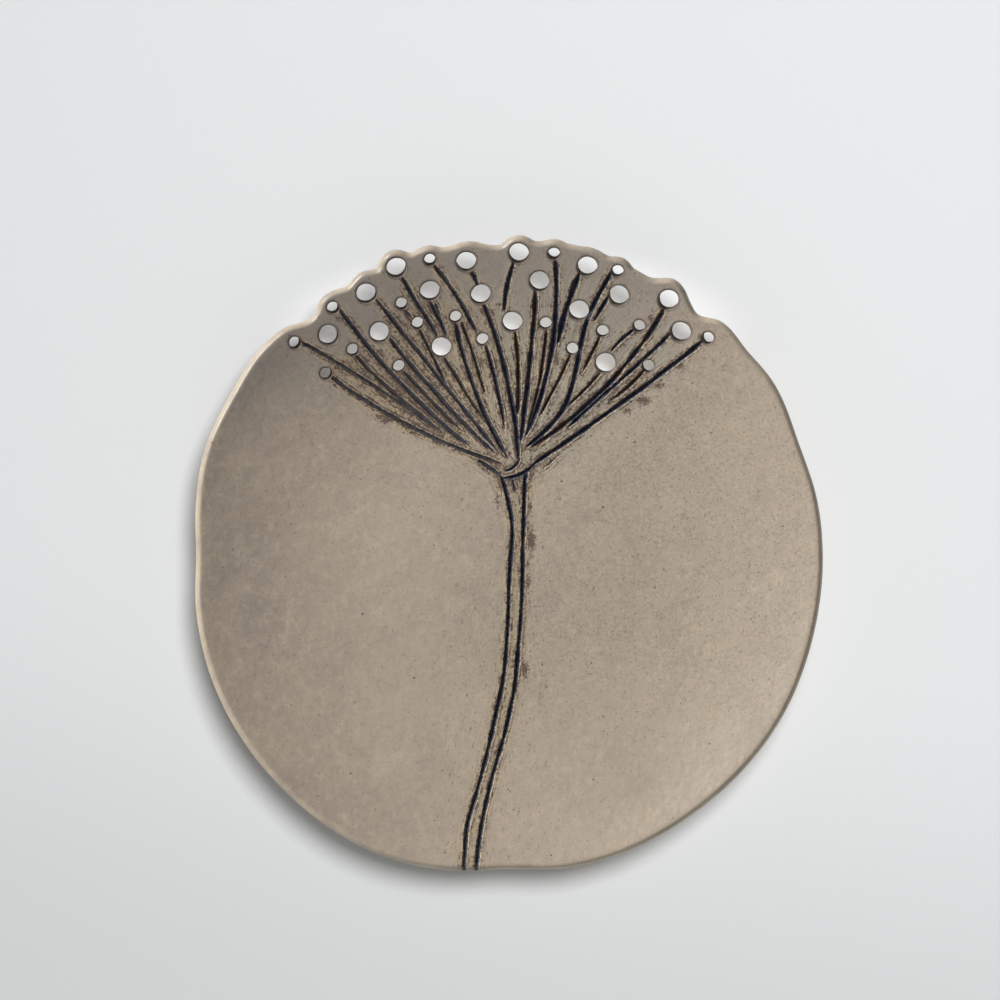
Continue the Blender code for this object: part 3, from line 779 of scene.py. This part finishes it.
places = np.vstack(skin_points) * MM
places[:, 2] -= MIDDLE_DROP * MM
known = np.vstack(skin_marks)
mesh = bpy.data.meshes.new("wall_plate")
mesh.from_pydata(places.tolist(), [], [face for part in skin_faces for face in part.tolist()])
for column, name in enumerate(MARKS):
    numbers = known[:, column].astype(np.float32)
    mesh.attributes.new(name, "FLOAT", "POINT").data.foreach_set("value", numbers)
streak = mesh.attributes.new("streak", "FLOAT_VECTOR", "POINT")
streak.data.foreach_set("vector", known[:, len(MARKS):].astype(np.float32).ravel())
plate = bpy.data.objects.new("wall_plate", mesh)
bpy.context.scene.collection.objects.link(plate)
print("clay:", round(signed_volume(places, skin_faces) * 1e6, 1), "cubic centimetres")

# %% [markdown]
# Two cord holes go through the top of the foot ring, bored with a thin drill from the side. They
# cross a curved wall, where a Boolean is simpler and truer than bending a grid round a hole.

# %% Cord holes
CORD_HOLE = 3.5
CORD_SPREAD = math.radians(22)
ROD_SIDES = 32
CREASE = math.radians(62)   # faces that meet at a sharper angle keep a crisp edge


def rod(name, angle):
    """A cylinder laid along the plate's radius, through the ring at half its height."""
    bpy.ops.mesh.primitive_cylinder_add(
        vertices=ROD_SIDES, radius=CORD_HOLE / 2 * MM, depth=3 * FOOT_WIDTH * MM)
    cutter = bpy.context.object
    cutter.name = name
    away = MIDDLE_DROP * MM
    cutter.location = (away * math.sin(angle), -FOOT_HEIGHT / 2 * MM, away * math.cos(angle) - away)
    cutter.rotation_euler = (0, angle, 0)
    return cutter


rods = [rod("rod_left", -CORD_SPREAD), rod("rod_right", CORD_SPREAD)]
for cutter in rods:
    cut = plate.modifiers.new(cutter.name, "BOOLEAN")
    cut.operation = "DIFFERENCE"
    cut.solver = "EXACT"
    cut.object = cutter
whole = plate.evaluated_get(bpy.context.evaluated_depsgraph_get())
bored = bpy.data.meshes.new_from_object(whole)
plate.modifiers.clear()
plate.data = bored
bored.name = "wall_plate"
bpy.data.meshes.remove(mesh)
for cutter in rods:
    bpy.data.objects.remove(cutter)
bored.shade_smooth()
bored.set_sharp_from_angle(angle=CREASE)
bored.calc_loop_triangles()
print(len(bored.loop_triangles), "triangles in the plate")

# %% [markdown]
# Glaze. A material is a net of small nodes, each doing one sum or one pattern. A few helpers keep
# that net readable: each makes one node, feeds it numbers or other nodes' outputs, and gives back
# its output. Patterns are given their size in millimetres.

# %% Helpers for materials
def node(tree, kind, **settings):
    made = tree.nodes.new(kind)
    for name, value in settings.items():
        setattr(made, name, value)
    return made


def feed(tree, socket, value):
    """Links another node's output to a socket, or writes a plain value on it."""
    if isinstance(value, bpy.types.NodeSocket):
        tree.links.new(value, socket)
    else:
        socket.default_value = value


def calc(tree, operation, *values):
    made = node(tree, "ShaderNodeMath", operation=operation)
    for socket, value in zip(made.inputs, values):
        feed(tree, socket, value)
    return made.outputs[0]


def ramp(tree, value, low, high, start=0.0, end=1.0):
    """From start to end as the value goes from low to high, level outside them."""
    made = node(tree, "ShaderNodeMapRange", interpolation_type="SMOOTHSTEP")
    for socket, given in zip(made.inputs, (value, low, high, start, end)):
        feed(tree, socket, given)
    return made.outputs[0]


def product(tree, first, *others):
    for other in others:
        first = calc(tree, "MULTIPLY", first, other)
    return first


def over(tree, under, top, *masks):
    """Lays a colour over another where all of its masks are high: they are multiplied together."""
    made = node(tree, "ShaderNodeMix", data_type="RGBA", clamp_factor=True)
    for index, given in ((0, product(tree, *masks)), (6, under), (7, top)):
        feed(tree, made.inputs[index], given)
    return made.outputs[2]


def weigh(tree, *pairs):
    """Sum of values, each times its weight."""
    total = 0.0
    for value, weight in pairs:
        total = calc(tree, "MULTIPLY_ADD", value, weight, total)
    return total


def parts(tree, vector):
    """The three numbers of a vector, as three outputs."""
    made = node(tree, "ShaderNodeSeparateXYZ")
    feed(tree, made.inputs[0], vector)
    return made.outputs


def clouds(tree, where, size, detail=3.0, roughness=0.55, warp=0.0, unit=MM):
    """Noise whose clouds are about `size` mm across, on coordinates in metres."""
    made = node(tree, "ShaderNodeTexNoise")
    feed(tree, made.inputs["Vector"], where)
    feed(tree, made.inputs["Scale"], 1 / (size * unit))
    feed(tree, made.inputs["Detail"], detail)
    feed(tree, made.inputs["Roughness"], roughness)
    feed(tree, made.inputs["Distortion"], warp)
    return made.outputs["Fac"]


def shaken(tree, value, amount, noise):
    """Value + amount * (noise - 0.5), as noise lies round a half."""
    return weigh(tree, (value, 1), (noise, amount), (-0.5, amount))


def mark(tree, name):
    """One of the numbers that the mesh carries at its points."""
    return node(tree, "ShaderNodeAttribute", attribute_name=name).outputs["Fac"]


def moved(tree, where, offset=(0, 0, 0), scale=(1, 1, 1)):
    made = node(tree, "ShaderNodeMapping")
    feed(tree, made.inputs["Vector"], where)
    made.inputs["Location"].default_value = offset
    made.inputs["Scale"].default_value = scale
    return made.outputs["Vector"]


def new_group(name, inputs, outputs):
    """A node group with named sockets, each a (name, kind, value)."""
    tree = bpy.data.node_groups.new(name, "ShaderNodeTree")
    for label, kind, value in inputs:
        socket = tree.interface.new_socket(label, in_out="INPUT", socket_type="NodeSocket" + kind)
        if value is not None:
            socket.default_value = value
    for label, kind in outputs:
        tree.interface.new_socket(label, in_out="OUTPUT", socket_type="NodeSocket" + kind)
    return tree, node(tree, "NodeGroupInput").outputs, node(tree, "NodeGroupOutput").inputs


def place_group(tree, group, **values):
    made = node(tree, "ShaderNodeGroup", node_tree=group)
    for name, value in values.items():
        feed(tree, made.inputs[name], value)
    return made.outputs


def new_material(name):
    material = bpy.data.materials.new(name)
    material.use_nodes = True
    tree = material.node_tree
    return material, tree, tree.nodes["Principled BSDF"].inputs


print("helpers ready")

# %% [markdown]
# Three effects belong to the clay itself and show in the glaze as well as on the bare foot: iron
# specks, the cloudy change of colour from patch to patch, and a fine grain. Each is a group, made
# once. The specks are cells of a Voronoi pattern: every cell has a random number, and only the few
# cells with a high number get a dot of any size.

# %% Speckle group
SPECK_CELL = 4.0
SPECK_RADIUS = 0.13         # of the largest specks, as a share of the cell

speckle, given, result = new_group(
    "speckle", [("Where", "Vector", None), ("Spread", "Float", 1.0)], [("Mask", "Float")])
cells = node(speckle, "ShaderNodeTexVoronoi", feature="F1")
feed(speckle, cells.inputs["Vector"], given["Where"])
feed(speckle, cells.inputs["Scale"], 1 / (SPECK_CELL * MM))
chance = node(speckle, "ShaderNodeSeparateColor")
feed(speckle, chance.inputs[0], cells.outputs["Color"])
size = product(speckle, ramp(speckle, chance.outputs[0], 0.5, 1.0, 0, SPECK_RADIUS), given["Spread"])
wobble = clouds(speckle, given["Where"], 0.5, 1.0)
inside = weigh(speckle, (size, 1), (cells.outputs["Distance"], -1), (wobble, -0.06), (0.5, 0.06))
darkness = ramp(speckle, chance.outputs[1], 0, 1, 0.25, 1)
feed(speckle, result["Mask"], product(speckle, ramp(speckle, inside, 0.0, 0.04), darkness))
print("speckle group:", len(speckle.nodes), "nodes")

# %% [markdown]
# The clouds come in three sizes, as a kiln's flame and a hand's brush leave them. Where they are high
# the colour is drawn towards a cooler one, and where they are low towards a warmer one.

# %% Mottle group
mottle, given, result = new_group(
    "mottle",
    [("Where", "Vector", None), ("Color", "Color", None), ("Cool", "Color", None), ("Warm", "Color", None)],
    [("Color", "Color"), ("Patches", "Float")])
broad = clouds(mottle, given["Where"], 46, 2.0, 0.5, 0.6)
patch = clouds(mottle, moved(mottle, given["Where"], (3, 1, 2)), 13, 3.0, 0.62, 0.9)
dapple = clouds(mottle, moved(mottle, given["Where"], (5, 7, 1)), 3.2, 2.0, 0.7, 0.6)
cool = weigh(mottle, (ramp(mottle, broad, 0.46, 0.7), 0.55), (ramp(mottle, patch, 0.5, 0.72), 0.35),
             (ramp(mottle, dapple, 0.5, 0.72), 0.45))
colour = over(mottle, given["Color"], given["Cool"], cool)
warm = weigh(mottle, (ramp(mottle, patch, 0.5, 0.3), 0.3), (ramp(mottle, dapple, 0.5, 0.3), 0.4))
feed(mottle, result["Color"], over(mottle, colour, given["Warm"], warm))
feed(mottle, result["Patches"], patch)
print("mottle group:", len(mottle.nodes), "nodes")

# %% [markdown]
# The grain is a height, not a colour. It adds soft dimples, faint upright scratches and fine grit,
# and a bump node turns it into small changes of the surface's normal.

# %% Grain group
grain, given, result = new_group(
    "grain", [("Where", "Vector", None), ("Grit", "Float", 0.3)], [("Height", "Float")])
dimples = clouds(grain, given["Where"], 3.2, 1.0, 0.5)
scratch = clouds(grain, moved(grain, given["Where"], (2, 0, 4), (1, 1, 0.3)), 1.6, 2.0, 0.6)
grit = clouds(grain, given["Where"], 0.45, 1.0, 0.6)
feed(grain, result["Height"], weigh(grain, (dimples, 1), (scratch, 0.35), (grit, given["Grit"])))
print("grain group:", len(grain.nodes), "nodes")


def relief(tree, shader, where, grit, strength, deep):
    """Turns the grain into small changes of a material's normal, as if it were `deep` mm deep."""
    bump = node(tree, "ShaderNodeBump")
    bump.inputs["Strength"].default_value = strength
    bump.inputs["Distance"].default_value = deep * MM
    feed(tree, bump.inputs["Height"], place_group(tree, grain, Where=where, Grit=grit)["Height"])
    feed(tree, shader["Normal"], bump.outputs["Normal"])


# %% [markdown]
# The glaze on its clay. Its ground colour drifts from a darker, greyer mauve at the upper left to a
# lighter, yellower beige at the lower right: partly the glaze's own colour, partly painted shade that
# deepens the hollow's half shade at the left. What lies over it comes in the order in which the
# potter and the kiln laid it, each step mixed over the last by a mask.

# %% Colours of the glaze
BEIGE = (0.375, 0.308, 0.236, 1)
MAUVE = (0.315, 0.256, 0.200, 1)
STRAW = (0.43, 0.352, 0.262, 1)
GREYED = (0.27, 0.222, 0.186, 1)
# Painted shade for the top of the plate:
TOP_SHADE = (0.235, 0.203, 0.172, 1)
POOLED = (0.200, 0.180, 0.145, 1)
OCHRE = (0.39, 0.30, 0.178, 1)
SAGE = (0.40, 0.36, 0.285, 1)
STONE = (0.335, 0.30, 0.24, 1)
CREAM = (0.50, 0.41, 0.30, 1)
RUST = (0.175, 0.108, 0.066, 1)
SMEAR = (0.085, 0.052, 0.038, 1)
UMBER = (0.050, 0.035, 0.030, 1)
BLUE_BLACK = (0.015, 0.021, 0.043, 1)
BROWN_BLACK = (0.045, 0.027, 0.016, 1)
WORN_BLACK = (0.072, 0.068, 0.070, 1)
CRAZE = (0.20, 0.155, 0.115, 1)

# %% [markdown]
# The ground. The top is painted darker and greyer, as painted shade where the hollow's upper side
# turns from the light; the centre and the right are crisper than the rest. Between the rays the
# glaze pooled in streaks along the cuts: ochre at the left and beside the stem, grey green in the
# middle, stone grey at the right.
# The streaks are clouds in a space of their own, whose first axis is the length along a cut.
# Each colour is laid over the last where a mask lets it, and a mask is a ramp over some pattern.

# %% The glaze: its ground
DRIFT_ACROSS = 3.1          # how fast the ground colour drifts, for each metre
DRIFT_DOWN = 2.2
STREAK_SCALE = (0.2, 1.6, 3.1)      # of the length along a cut, the distance beside it and its number

glaze, tree, shader = new_material("stoneware_glaze")
where = node(tree, "ShaderNodeTexCoord").outputs["Object"]
rightward, _, upward = parts(tree, where)
gap, tone, crowd, bore, smudge, brim, lip = (
    mark(tree, name) for name in ("gap", "tone", "crowd", "bore", "smudge", "brim", "lip"))
streak = node(tree, "ShaderNodeAttribute", attribute_name="streak").outputs["Vector"]

# Painted shade and glaze colour: the ground darkens and greys towards the upper left
glaze_and_shade_drift = weigh(tree, (rightward, DRIFT_ACROSS), (upward, -DRIFT_DOWN), (clouds(tree, where, 70, 1.0), 1.1))
glaze_and_shade_drift = ramp(tree, glaze_and_shade_drift, 0.05, 1.15)
ground = over(tree, MAUVE, BEIGE, glaze_and_shade_drift)
cooler = over(tree, GREYED, MAUVE, glaze_and_shade_drift)
patches = place_group(tree, mottle, Where=where, Color=ground, Cool=cooler, Warm=STRAW)
# Painted shade: the plate's top, above the flower, is darkened and greyed
high = ramp(tree, weigh(tree, (upward, 1), (rightward, -0.2)), 0.005, 0.05)
colour = over(tree, patches["Color"], TOP_SHADE, high, 0.65)

# The centre and the right are crisper than the thickly glazed left and bottom
crisp = product(tree, ramp(tree, rightward, -0.05, 0.03), ramp(tree, upward, -0.14, -0.09))
fleck = clouds(tree, where, 0.9, 2.0, 0.6)
colour = over(tree, colour, GREYED, ramp(tree, fleck, 0.5, 0.75, 0, 0.55), crisp)
colour = over(tree, colour, CREAM, ramp(tree, fleck, 0.5, 0.25, 0, 0.42), crisp)
scuff = clouds(tree, moved(tree, where, (0.3, 0, 0.1), (1, 1, 0.5)), 3.0, 4.0, 0.8)
colour = over(tree, colour, CREAM, ramp(tree, scuff, 0.60, 0.74, 0, 0.5), crisp)

# Between the rays: thicker glaze in streaks along the cuts
crowded = ramp(tree, crowd, 0.5, 1.6)
lay = moved(tree, streak, (0, 0, 0), STREAK_SCALE)
flow = clouds(tree, lay, 1.0, 3.0, 0.65, unit=1)
vein = clouds(tree, moved(tree, lay, (31, 17, 5)), 1.3, 2.0, 0.6, unit=1)
leftward = ramp(tree, rightward, 0.015, -0.03)
stemward = ramp(tree, upward, -0.012, -0.03, 0, 0.8)
film = over(tree, SAGE, STONE, ramp(tree, rightward, 0.0, 0.025))
film = over(tree, film, OCHRE, calc(tree, "MAXIMUM", leftward, stemward))
film = over(tree, POOLED, film, ramp(tree, vein, 0.38, 0.58))
colour = over(tree, colour, film, crowded, 0.85)
# The painted shade over the top is laid again, over the pooled streaks
colour = over(tree, colour, TOP_SHADE, high, 0.4)

# %% [markdown]
# Stains. Oxide stayed beside the cuts and where they crowd, and where the sponge smeared it. Streaks,
# grit and nearness to a cut are added up, and wherever the sum is high there is rust, then umber.

# %% The glaze: oxide where it was not meant to be
NEAR = 2.2                  # mm beside a cut that are stained

near = ramp(tree, gap, 0.0, NEAR, 1, 0)
colour = over(tree, colour, OCHRE, near, ramp(tree, clouds(tree, where, 4, 2.0), 0.38, 0.6, 0.2, 0.7))
dense = ramp(tree, crowd, 1.2, 4.0)
left = product(tree, ramp(tree, rightward, -0.012, -0.045), crowded)
grit = clouds(tree, where, 1.1, 3.0, 0.7)
dirt = weigh(tree, (flow, 1.5), (grit, 1.4), (near, 0.3), (crowded, 0.08), (dense, 0.15), (left, 0.15))
colour = over(tree, colour, RUST, ramp(tree, dirt, 1.64, 1.88, 0, 0.8))
colour = over(tree, colour, UMBER, ramp(tree, dirt, 1.80, 1.99, 0, 0.85))
smear = shaken(tree, smudge, 3.0, clouds(tree, where, 0.9, 3.0, 0.75))
colour = over(tree, colour, SMEAR, ramp(tree, smear, 0.25, 0.8, 0, 0.9))

# Painted highlights: a pale band along the rounded lip, and pale lines along the burrs
lip_highlight = ramp(tree, clouds(tree, where, 9, 2.0), 0.35, 0.6, 0.3, 0.75)
colour = over(tree, colour, CREAM, lip, lip_highlight)
# Painted highlight on the burrs: pale just outside a cut, more on one side of it, broken by clouds
beside = parts(tree, streak)[1]
lit_burr_side = weigh(tree, (ramp(tree, beside, -0.2, 0.4), 0.25), (clouds(tree, where, 1.6, 2.0), 1))
burr = product(tree, ramp(tree, gap, 0.02, 0.16), ramp(tree, gap, 0.5, 0.25), ramp(tree, lit_burr_side, 0.56, 0.74))
colour = over(tree, colour, CREAM, burr, 0.7)

# %% [markdown]
# The cuts. Each is filled with blue-black or brown oxide, rubbed thin in places. Its edge is ragged:
# the distance from the cut is shaken by fine clouds before it is compared with nothing. The holes get
# a dark ring at their edges and a dark inside: oxide, and painted shade down each hole.

# %% The glaze: oxide in the cuts, oxide and painted shade in the holes
hue = shaken(tree, tone, 2.4, clouds(tree, where, 5, 1.0))
oxide = over(tree, BROWN_BLACK, BLUE_BLACK, ramp(tree, hue, 0.2, 0.8))
rubbed = shaken(tree, product(tree, leftward, 0.5), 3.0, clouds(tree, where, 1.8, 3.0, 0.7))
oxide = over(tree, oxide, WORN_BLACK, ramp(tree, rubbed, -0.2, 0.65, 0, 0.85))
edge = shaken(tree, gap, 3.0, clouds(tree, where, 0.9, 3.0, 0.75))
filled = ramp(tree, edge, 0.20, -0.12)
colour = over(tree, colour, oxide, filled)

# Painted shade and oxide stain: a dark ring round the edge of each hole
ring = shaken(tree, brim, 0.8, clouds(tree, where, 1.3, 3.0))
colour = over(tree, colour, SMEAR, ramp(tree, ring, 0.45, 1.0, 0, 0.6))
# Painted shade and oxide: the inside of each hole is darkened
colour = over(tree, colour, UMBER, bore, ramp(tree, clouds(tree, where, 3, 3.0), 0.3, 0.6, 0.7, 1.0))

# %% [markdown]
# Crazing is the net of fine cracks in a glaze that shrank more than its clay. It follows the edges of
# bent Voronoi cells, and shows only in some regions. Specks, gloss and grain finish the glaze.

# %% The glaze: crazing, specks and relief
CRAZE_CELL = 8.5
BEND = 6.0                  # mm by which the cells' edges are bent
BEND_SIZE = 12.0            # and the size of the bends

bent = node(tree, "ShaderNodeTexNoise")
feed(tree, bent.inputs["Vector"], where)
feed(tree, bent.inputs["Scale"], 1 / (BEND_SIZE * MM))
bent_where = node(tree, "ShaderNodeVectorMath", operation="MULTIPLY_ADD")
feed(tree, bent_where.inputs[0], bent.outputs["Color"])
bent_where.inputs[1].default_value = (BEND * MM, BEND * MM, BEND * MM)
feed(tree, bent_where.inputs[2], where)
cracks = node(tree, "ShaderNodeTexVoronoi", feature="DISTANCE_TO_EDGE")
feed(tree, cracks.inputs["Vector"], bent_where.outputs[0])
feed(tree, cracks.inputs["Scale"], 1 / (CRAZE_CELL * MM))
crazed = ramp(tree, cracks.outputs["Distance"], 0.006, 0.022, 1, 0)
region = weigh(tree, (rightward, 9.0), (upward, 3.0), (clouds(tree, where, 26, 2.0), 1))
broken = ramp(tree, clouds(tree, where, 5, 2.0), 0.4, 0.62)
colour = over(tree, colour, CRAZE, crazed, ramp(tree, region, 0.4, 1.0), broken, 0.35)

specks = place_group(tree, speckle, Where=where, Spread=1.0)["Mask"]
feed(tree, shader["Base Color"], over(tree, colour, UMBER, specks, 0.85))
rough = weigh(tree, (ramp(tree, patches["Patches"], 0.3, 0.7, 0.36, 0.5), 1), (filled, 0.1), (bore, 0.35))
feed(tree, shader["Roughness"], rough)
feed(tree, shader["Specular IOR Level"], weigh(tree, (0.5, 1), (filled, -0.15), (bore, -0.4)))
relief(tree, shader, where, 0.25, 0.7, 0.2)
print("glaze:", len(tree.nodes), "nodes")

# %% [markdown]
# The foot's standing face is wiped bare before the firing, or the plate would melt onto the kiln
# shelf. Bare stoneware is matt, browner and grittier than the glaze, with the same iron specks.

# %% Bare clay on the foot
BARE = (0.33, 0.225, 0.145, 1)
BARE_COOL = (0.26, 0.185, 0.13, 1)
BARE_WARM = (0.40, 0.27, 0.165, 1)

bare_clay, tree, shader = new_material("bare_stoneware")
where = node(tree, "ShaderNodeTexCoord").outputs["Object"]
colour = place_group(tree, mottle, Where=where, Color=BARE, Cool=BARE_COOL, Warm=BARE_WARM)["Color"]
specks = place_group(tree, speckle, Where=where, Spread=1.5)["Mask"]
feed(tree, shader["Base Color"], over(tree, colour, UMBER, specks, 0.8))
shader["Roughness"].default_value = 0.85
relief(tree, shader, where, 0.9, 0.8, 0.15)

bored.materials.clear()
bored.materials.append(glaze)
bored.materials.append(bare_clay)
foot_bare = np.zeros(len(bored.vertices), np.float32)
bored.attributes["bare"].data.foreach_get("value", foot_bare)
corners = np.zeros(len(bored.loops), np.int32)
bored.loops.foreach_get("vertex_index", corners)
starts = np.zeros(len(bored.polygons), np.int32)
bored.polygons.foreach_get("loop_start", starts)
wiped = np.minimum.reduceat(foot_bare[corners], starts) > 0.5
bored.polygons.foreach_set("material_index", wiped.astype(np.int32))
bored.update()
print(int(wiped.sum()), "bare faces on the foot")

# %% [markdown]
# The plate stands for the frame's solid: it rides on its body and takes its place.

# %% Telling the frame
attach(plate, "root")
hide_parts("plate")

# %% [markdown]
# The stage: a pale wall that curves into a pale floor, as in a photo studio. It is one profile
# carried sideways, its paint a little darker towards the bottom and the left, as painted shade. Seen
# from behind it is clear, so that the plate's back can be looked at too, and it casts no shadow on
# the plate.

# %% Wall and floor
WALL_TOP = 1.6
FLOOR_DEPTH = 0.9
FLOOR_REACH = 3.0
COVE = 0.4
COVE_STEPS = 12
STAGE_HALF = 2.5
STAGE_STEPS = 8

turn = np.radians(np.linspace(0, 90, COVE_STEPS + 1))
cove = np.column_stack([-COVE * (1 - np.cos(turn)), -FLOOR_DEPTH + COVE * (1 - np.sin(turn))])
profile = np.vstack([[0, WALL_TOP], cove, [-FLOOR_REACH, -FLOOR_DEPTH]])
across = np.linspace(-STAGE_HALF, STAGE_HALF, STAGE_STEPS + 1)
grid = np.array([[x, y, z] for y, z in profile for x in across])
wide = len(across)
corner_of = (np.arange(len(profile) - 1)[:, None] * wide + np.arange(wide - 1)).ravel()
faces = np.column_stack([corner_of, corner_of + wide, corner_of + wide + 1, corner_of + 1])
stage_mesh = bpy.data.meshes.new("stage")
stage_mesh.from_pydata(grid.tolist(), [], faces.tolist())
stage_mesh.shade_smooth()
stage = bpy.data.objects.new("stage", stage_mesh)
bpy.context.scene.collection.objects.link(stage)
stage.visible_shadow = False

PAINT = (0.80, 0.815, 0.82, 1)
PAINT_SHADED_BELOW = (0.70, 0.715, 0.715, 1)

paint, tree, shader = new_material("wall_paint")
rightward, _, upward = parts(tree, node(tree, "ShaderNodeTexCoord").outputs["Object"])
# Painted shade: the wall's paint darkens towards the bottom, a little more at the left
shade_below = ramp(tree, weigh(tree, (upward, 1), (rightward, 0.15)), -0.07, -0.24)
feed(tree, shader["Base Color"], over(tree, PAINT, PAINT_SHADED_BELOW, shade_below))
shader["Roughness"].default_value = 0.9
clear = node(tree, "ShaderNodeBsdfTransparent")
either = node(tree, "ShaderNodeMixShader")
feed(tree, either.inputs[0], node(tree, "ShaderNodeNewGeometry").outputs["Backfacing"])
feed(tree, either.inputs[1], tree.nodes["Principled BSDF"].outputs[0])
feed(tree, either.inputs[2], clear.outputs[0])
feed(tree, tree.nodes["Material Output"].inputs[0], either.outputs[0])
stage_mesh.materials.append(paint)
print("stage faces towards", tuple(round(v, 2) for v in stage_mesh.polygons[0].normal))

# %% [markdown]
# Light. The plate is lit by one large soft lamp from the upper left, so its hollow left side is in
# half shade and its right side is bright, with a bright line on the upper left lip. The wall has a
# lamp of its own from the upper right, which lays the plate's soft shadow to the lower left. A beam
# that the plate does not block brightens the wall behind the holes, as the light of a whole room
# would. A weak lamp behind the wall shows the back.

# %% Lamps
AIM = Vector((0, 0, -MIDDLE_DROP * MM))


def hang(name, light, place, turn, lit):
    """Puts a light in the scene that shines on one object alone."""
    made = bpy.data.objects.new(name, light)
    made.location = place
    made.rotation_euler = turn
    bpy.context.scene.collection.objects.link(made)
    group = bpy.data.collections.new(name + "_lit")
    group.objects.link(lit)
    made.light_linking.receiver_collection = group
    return made


def lamp(name, place, size, watts, lit):
    """A round soft lamp that looks at the plate."""
    light = bpy.data.lights.new(name, "AREA")
    light.shape = "DISK"
    light.size = size
    light.energy = watts
    hang(name, light, place, (AIM - Vector(place)).to_track_quat("-Z", "Y").to_euler(), lit)


lamp("key", (-1.05, -0.85, 0.75), 0.5, 36.2, plate)
lamp("front_fill", (0.5, -1.6, -0.1), 1.2, 2.0, plate)
lamp("wall_lamp", (0.30, -1.80, 0.50), 0.79, 29.9, stage)
lamp("back_lamp", (0.0, 1.6, -0.05), 0.8, 10.0, plate)

# The beam on the wall behind the flower: an ellipse above the plate's middle
BEAM_AWAY = 1.5
BEAM_ACROSS = 0.098
BEAM_UP = 0.036
BEAM_RISE = 0.086
beam = bpy.data.lights.new("hole_beam", "SPOT")
beam.energy = 42.0
beam.spot_size = 2 * math.atan(BEAM_ACROSS / BEAM_AWAY)
beam.spot_blend = 1.0
beam.shadow_soft_size = 0.0
beam_place = (0.0, -BEAM_AWAY, BEAM_RISE - MIDDLE_DROP * MM)
beam_lamp = hang("hole_beam", beam, beam_place, (math.pi / 2, 0, 0), stage)
beam_lamp.scale = (1, BEAM_UP / BEAM_ACROSS, 1)
beam_lamp.light_linking.blocker_collection = beam_lamp.light_linking.receiver_collection

ROOM = (0.86, 0.875, 0.88, 1)
ROOM_LIGHT = 0.12           # strength with which the room lights the plate
ROOM_SEEN = 0.85            # and with which the camera sees it past the wall
world = bpy.data.worlds.new("studio")
world.use_nodes = True
bpy.context.scene.world = world
sky = world.node_tree.nodes["Background"]
sky.inputs["Color"].default_value = ROOM
seen = node(world.node_tree, "ShaderNodeLightPath").outputs["Is Camera Ray"]
feed(world.node_tree, sky.inputs["Strength"], ramp(world.node_tree, seen, 0.0, 1.0, ROOM_LIGHT, ROOM_SEEN))

# %% [markdown]
# Camera. The photo looks square at the plate from straight ahead, from far enough away that the
# sides of the holes hardly show. A pixel of the photo is a known share of the plate's width, and
# that places the camera.

# %% Camera
IMAGE = 1000                # pixels across the photo
MIDDLE_PIXEL = (509.5, 554.0)
MM_PER_PIXEL = 0.37736
LENS = 100.0
SENSOR = 36.0
PLATE_FRONT = 0.025         # the rim's distance from the wall

width = IMAGE * MM_PER_PIXEL * MM
eye = bpy.data.cameras.new("camera")
eye.lens = LENS
eye.sensor_width = SENSOR
camera = bpy.data.objects.new("camera", eye)
camera.location = (
    -(MIDDLE_PIXEL[0] - IMAGE / 2) * MM_PER_PIXEL * MM,
    -(width * LENS / SENSOR + PLATE_FRONT),
    (MIDDLE_PIXEL[1] - IMAGE / 2) * MM_PER_PIXEL * MM - MIDDLE_DROP * MM)
camera.rotation_euler = (math.pi / 2, 0, 0)
bpy.context.scene.collection.objects.link(camera)
bpy.context.scene.camera = camera
bpy.context.scene.view_settings.view_transform = "Standard"
print("camera at", tuple(round(v, 4) for v in camera.location))
